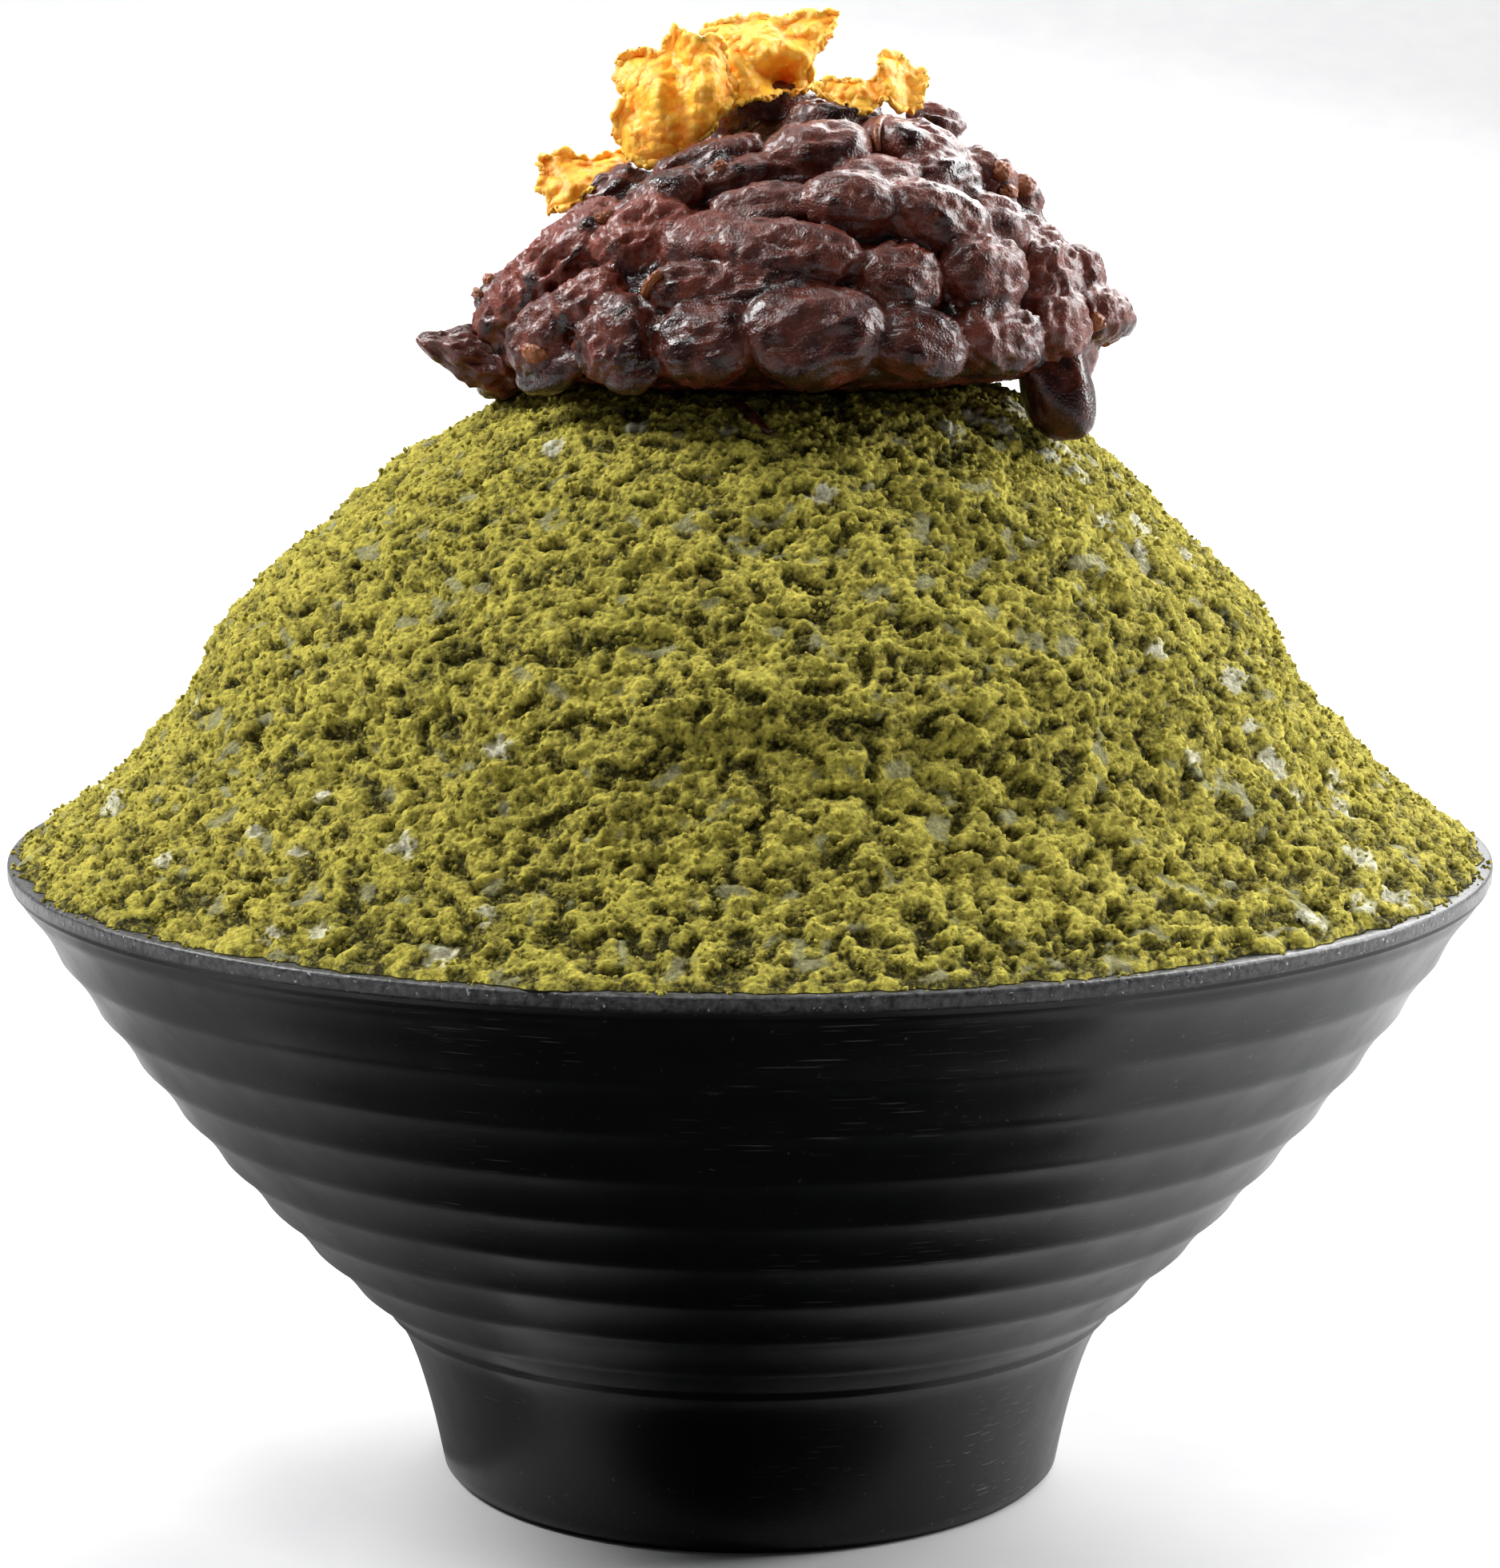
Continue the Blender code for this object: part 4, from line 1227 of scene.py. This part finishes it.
# %% Flake maker
FLAKE_THICKNESS = 0.0006


def curve_at(points, share):
    """The point of a Catmull-Rom curve at a share of its length from 0 to 1."""
    last = len(points) - 1
    step = min(int(share * last), last - 1)
    t = share * last - step
    padded = [2 * points[0] - points[1], *points, 2 * points[-1] - points[-2]]
    a, b, c, d = padded[step:step + 4]
    return 0.5 * (2 * b + (c - a) * t + (2 * a - 5 * b + 4 * c - d) * t**2 + (3 * b - a - 3 * c + d) * t**3)


def make_flake(rows, across, up, seed):
    """A crumpled sheet over a net of (px, py, depth in millimetres), row by row upwards."""
    net = [[seen_at(px, py, depth * MM) for px, py, depth in row] for row in rows]
    shift = Vector((seed * 5.1, seed * 2.3, seed))
    mesh = bmesh.new()
    bmesh.ops.create_grid(mesh, x_segments=across, y_segments=up, size=0.5)
    hollow = mesh.verts.layers.float.new("hollow")
    rim = mesh.verts.layers.float.new("rim")
    for corner in mesh.verts:
        u, v = corner.co.x + 0.5, corner.co.y + 0.5
        place = curve_at([curve_at(row, u) for row in net], v)
        edge = min(u, 1 - u, v, 1 - v)
        blister = noise.voronoi(place / 0.0012 + shift)[0][0]
        crumple = noise.noise(place / 0.0034 + shift)
        fold = abs(noise.noise(place / 0.0026 - shift))
        fine = noise.noise(place / 0.0007 - shift)
        tear = noise.noise_vector(place / 0.0016 + shift) + 0.7 * noise.noise_vector(place / 0.0006 - shift)
        near_rim = 1 - ease(0.0, 0.09, edge)
        swell = 0.00030 * (0.5 - blister) + 0.0010 * crumple - 0.0009 * fold + 0.00016 * fine
        place += Vector((0, -1, 0.25)) * (swell + 0.0005 * near_rim)
        corner.co = place + tear * (0.00065 * near_rim)
        corner[hollow] = ease(0.35, 0.75, blister) * 0.6 + 0.4 * ease(-0.1, 0.4, -crumple)
        corner[rim] = near_rim
    bmesh.ops.recalc_face_normals(mesh, faces=mesh.faces)
    return mesh


FLAKES = {
    "flake_left": (
        ((687, 263, -5), (702, 262, -6), (719, 258, -6), (742, 238, -5), (765, 224, -3), (790, 211, -1)),
        ((676, 228, -3), (700, 224, -4), (722, 222, -4), (745, 214, -3), (768, 207, -2), (788, 198, 0)),
        ((670, 194, -1), (690, 192, 0), (714, 192, 0), (742, 200, 0), (766, 193, 1), (784, 184, 1)),
    ),
    "flake_front": (
        ((784, 203, -3), (800, 209, -5), (822, 208, -6),
         (848, 197, -6.5), (872, 180, -6.5), (893, 165, -6)),
        ((768, 156, -3), (795, 165, -5.5), (822, 165, -7),
         (850, 158, -7), (880, 150, -7.5), (905, 142, -6)),
        ((777, 114, -2), (798, 120, -4), (824, 122, -6.5),
         (850, 115, -5.5), (884, 112, -8), (915, 115, -5)),
        ((768, 90, -1), (795, 90, -2), (822, 92, -4), (850, 85, -3), (880, 78, -7), (909, 82, -4)),
        ((778, 70, 0), (800, 64, 0), (822, 62, -1), (838, 40, -1), (868, 47, -3.5), (906, 50, -3)),
    ),
    "flake_top": (
        ((917, 137, -4), (935, 130, -5), (958, 122, -5),
         (980, 118, -4), (1000, 117, -3), (1014, 113, -1)),
        ((912, 100, -3), (935, 98, -4.5), (962, 102, -2.5),
         (985, 98, 0), (1003, 90, -2.5), (1014, 80, -1)),
        ((892, 60, 0), (915, 60, -2), (945, 62, -3), (975, 62, -3), (1003, 58, -2), (1038, 48, 0)),
        ((877, 36, 3), (905, 26, 3.5), (944, 18, 4), (975, 22, 3), (1006, 14, 3), (1046, 14, 3)),
    ),
    "flake_right": (
        ((1013, 115, -6), (1035, 122, -7), (1058, 136, -8), (1080, 142, -8),
         (1105, 126, -7), (1128, 142, -6), (1152, 132, -5)),
        ((1022, 107, -5), (1045, 109, -6.5), (1070, 114, -7.5), (1090, 109, -7),
         (1110, 104, -6), (1135, 108, -4), (1162, 106, -3)),
        ((1036, 99, -4), (1060, 100, -5), (1085, 101, -6), (1098, 94, -5),
         (1106, 67, -3), (1136, 75, -1.5), (1154, 90, -1)),
    ),
}
FLAKE_SPLITS = {
    "flake_left": (110, 56),
    "flake_front": (140, 130),
    "flake_top": (140, 100),
    "flake_right": (140, 56),
}
print("flakes:", sorted(FLAKES))

# %% [markdown]
# ## The flakes' finish
#
# Toasted corn is a warm golden yellow, paler on its blisters and along its torn edge, and a deep amber
# between the blisters and where the sheet dips back. A little light passes through the sheet, so the
# shader scatters some of it under the surface.

# %% Toasted corn
corn, tree, shader = new_look("corn_flake")
spot = wire(tree, "TexCoord").outputs["Object"]
hollow = wire(tree, "Attribute", attribute_name="hollow").outputs["Fac"]
rim = wire(tree, "Attribute", attribute_name="rim").outputs["Fac"]
mottle = grain(tree, spot, 0.0016, 4.0, 0.6)
share = sum_of(tree, "ADD", hollow, between(tree, mottle, 0.3, 0.7, -0.35, 0.35))
tone = shade(tree, between(tree, share, 0.05, 0.95), (1.0, 0.51, 0.034, 1), (0.95, 0.30, 0.003, 1))
pale = between(tree, grain(tree, spot, 0.0007, 3.0), 0.55, 0.72)
tone = shade(tree, sum_of(tree, "MULTIPLY", pale, 0.55), tone, (1.0, 0.70, 0.20, 1))
tone = shade(tree, sum_of(tree, "MULTIPLY", rim, 0.30), tone, (1.0, 0.60, 0.09, 1))
tree.links.new(tone, shader.inputs["Base Color"])
shader.inputs["Roughness"].default_value = 0.48
shader.inputs["Specular IOR Level"].default_value = 0.4
shader.inputs["Subsurface Weight"].default_value = 0.25
shader.inputs["Subsurface Radius"].default_value = (0.004, 0.0022, 0.0006)
shader.inputs["Subsurface Scale"].default_value = 0.3
fizz = bumps(tree, grain(tree, spot, 0.0006, 4.0), 0.00022, 0.7)
tree.links.new(bumps(tree, grain(tree, spot, 0.0002, 2.0), 0.00005, 0.6, fizz), shader.inputs["Normal"])

for order, (name, rows) in enumerate(FLAKES.items()):
    across, up = FLAKE_SPLITS[name]
    piece = finish_object(name + "_sheet", make_flake(rows, across, up, order + 1), corn)
    body = piece.modifiers.new("thickness", "SOLIDIFY")
    body.thickness = FLAKE_THICKNESS
    body.offset = 0.0
    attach(piece, "root")
    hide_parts(name)
    print(name, len(piece.data.polygons), "faces")
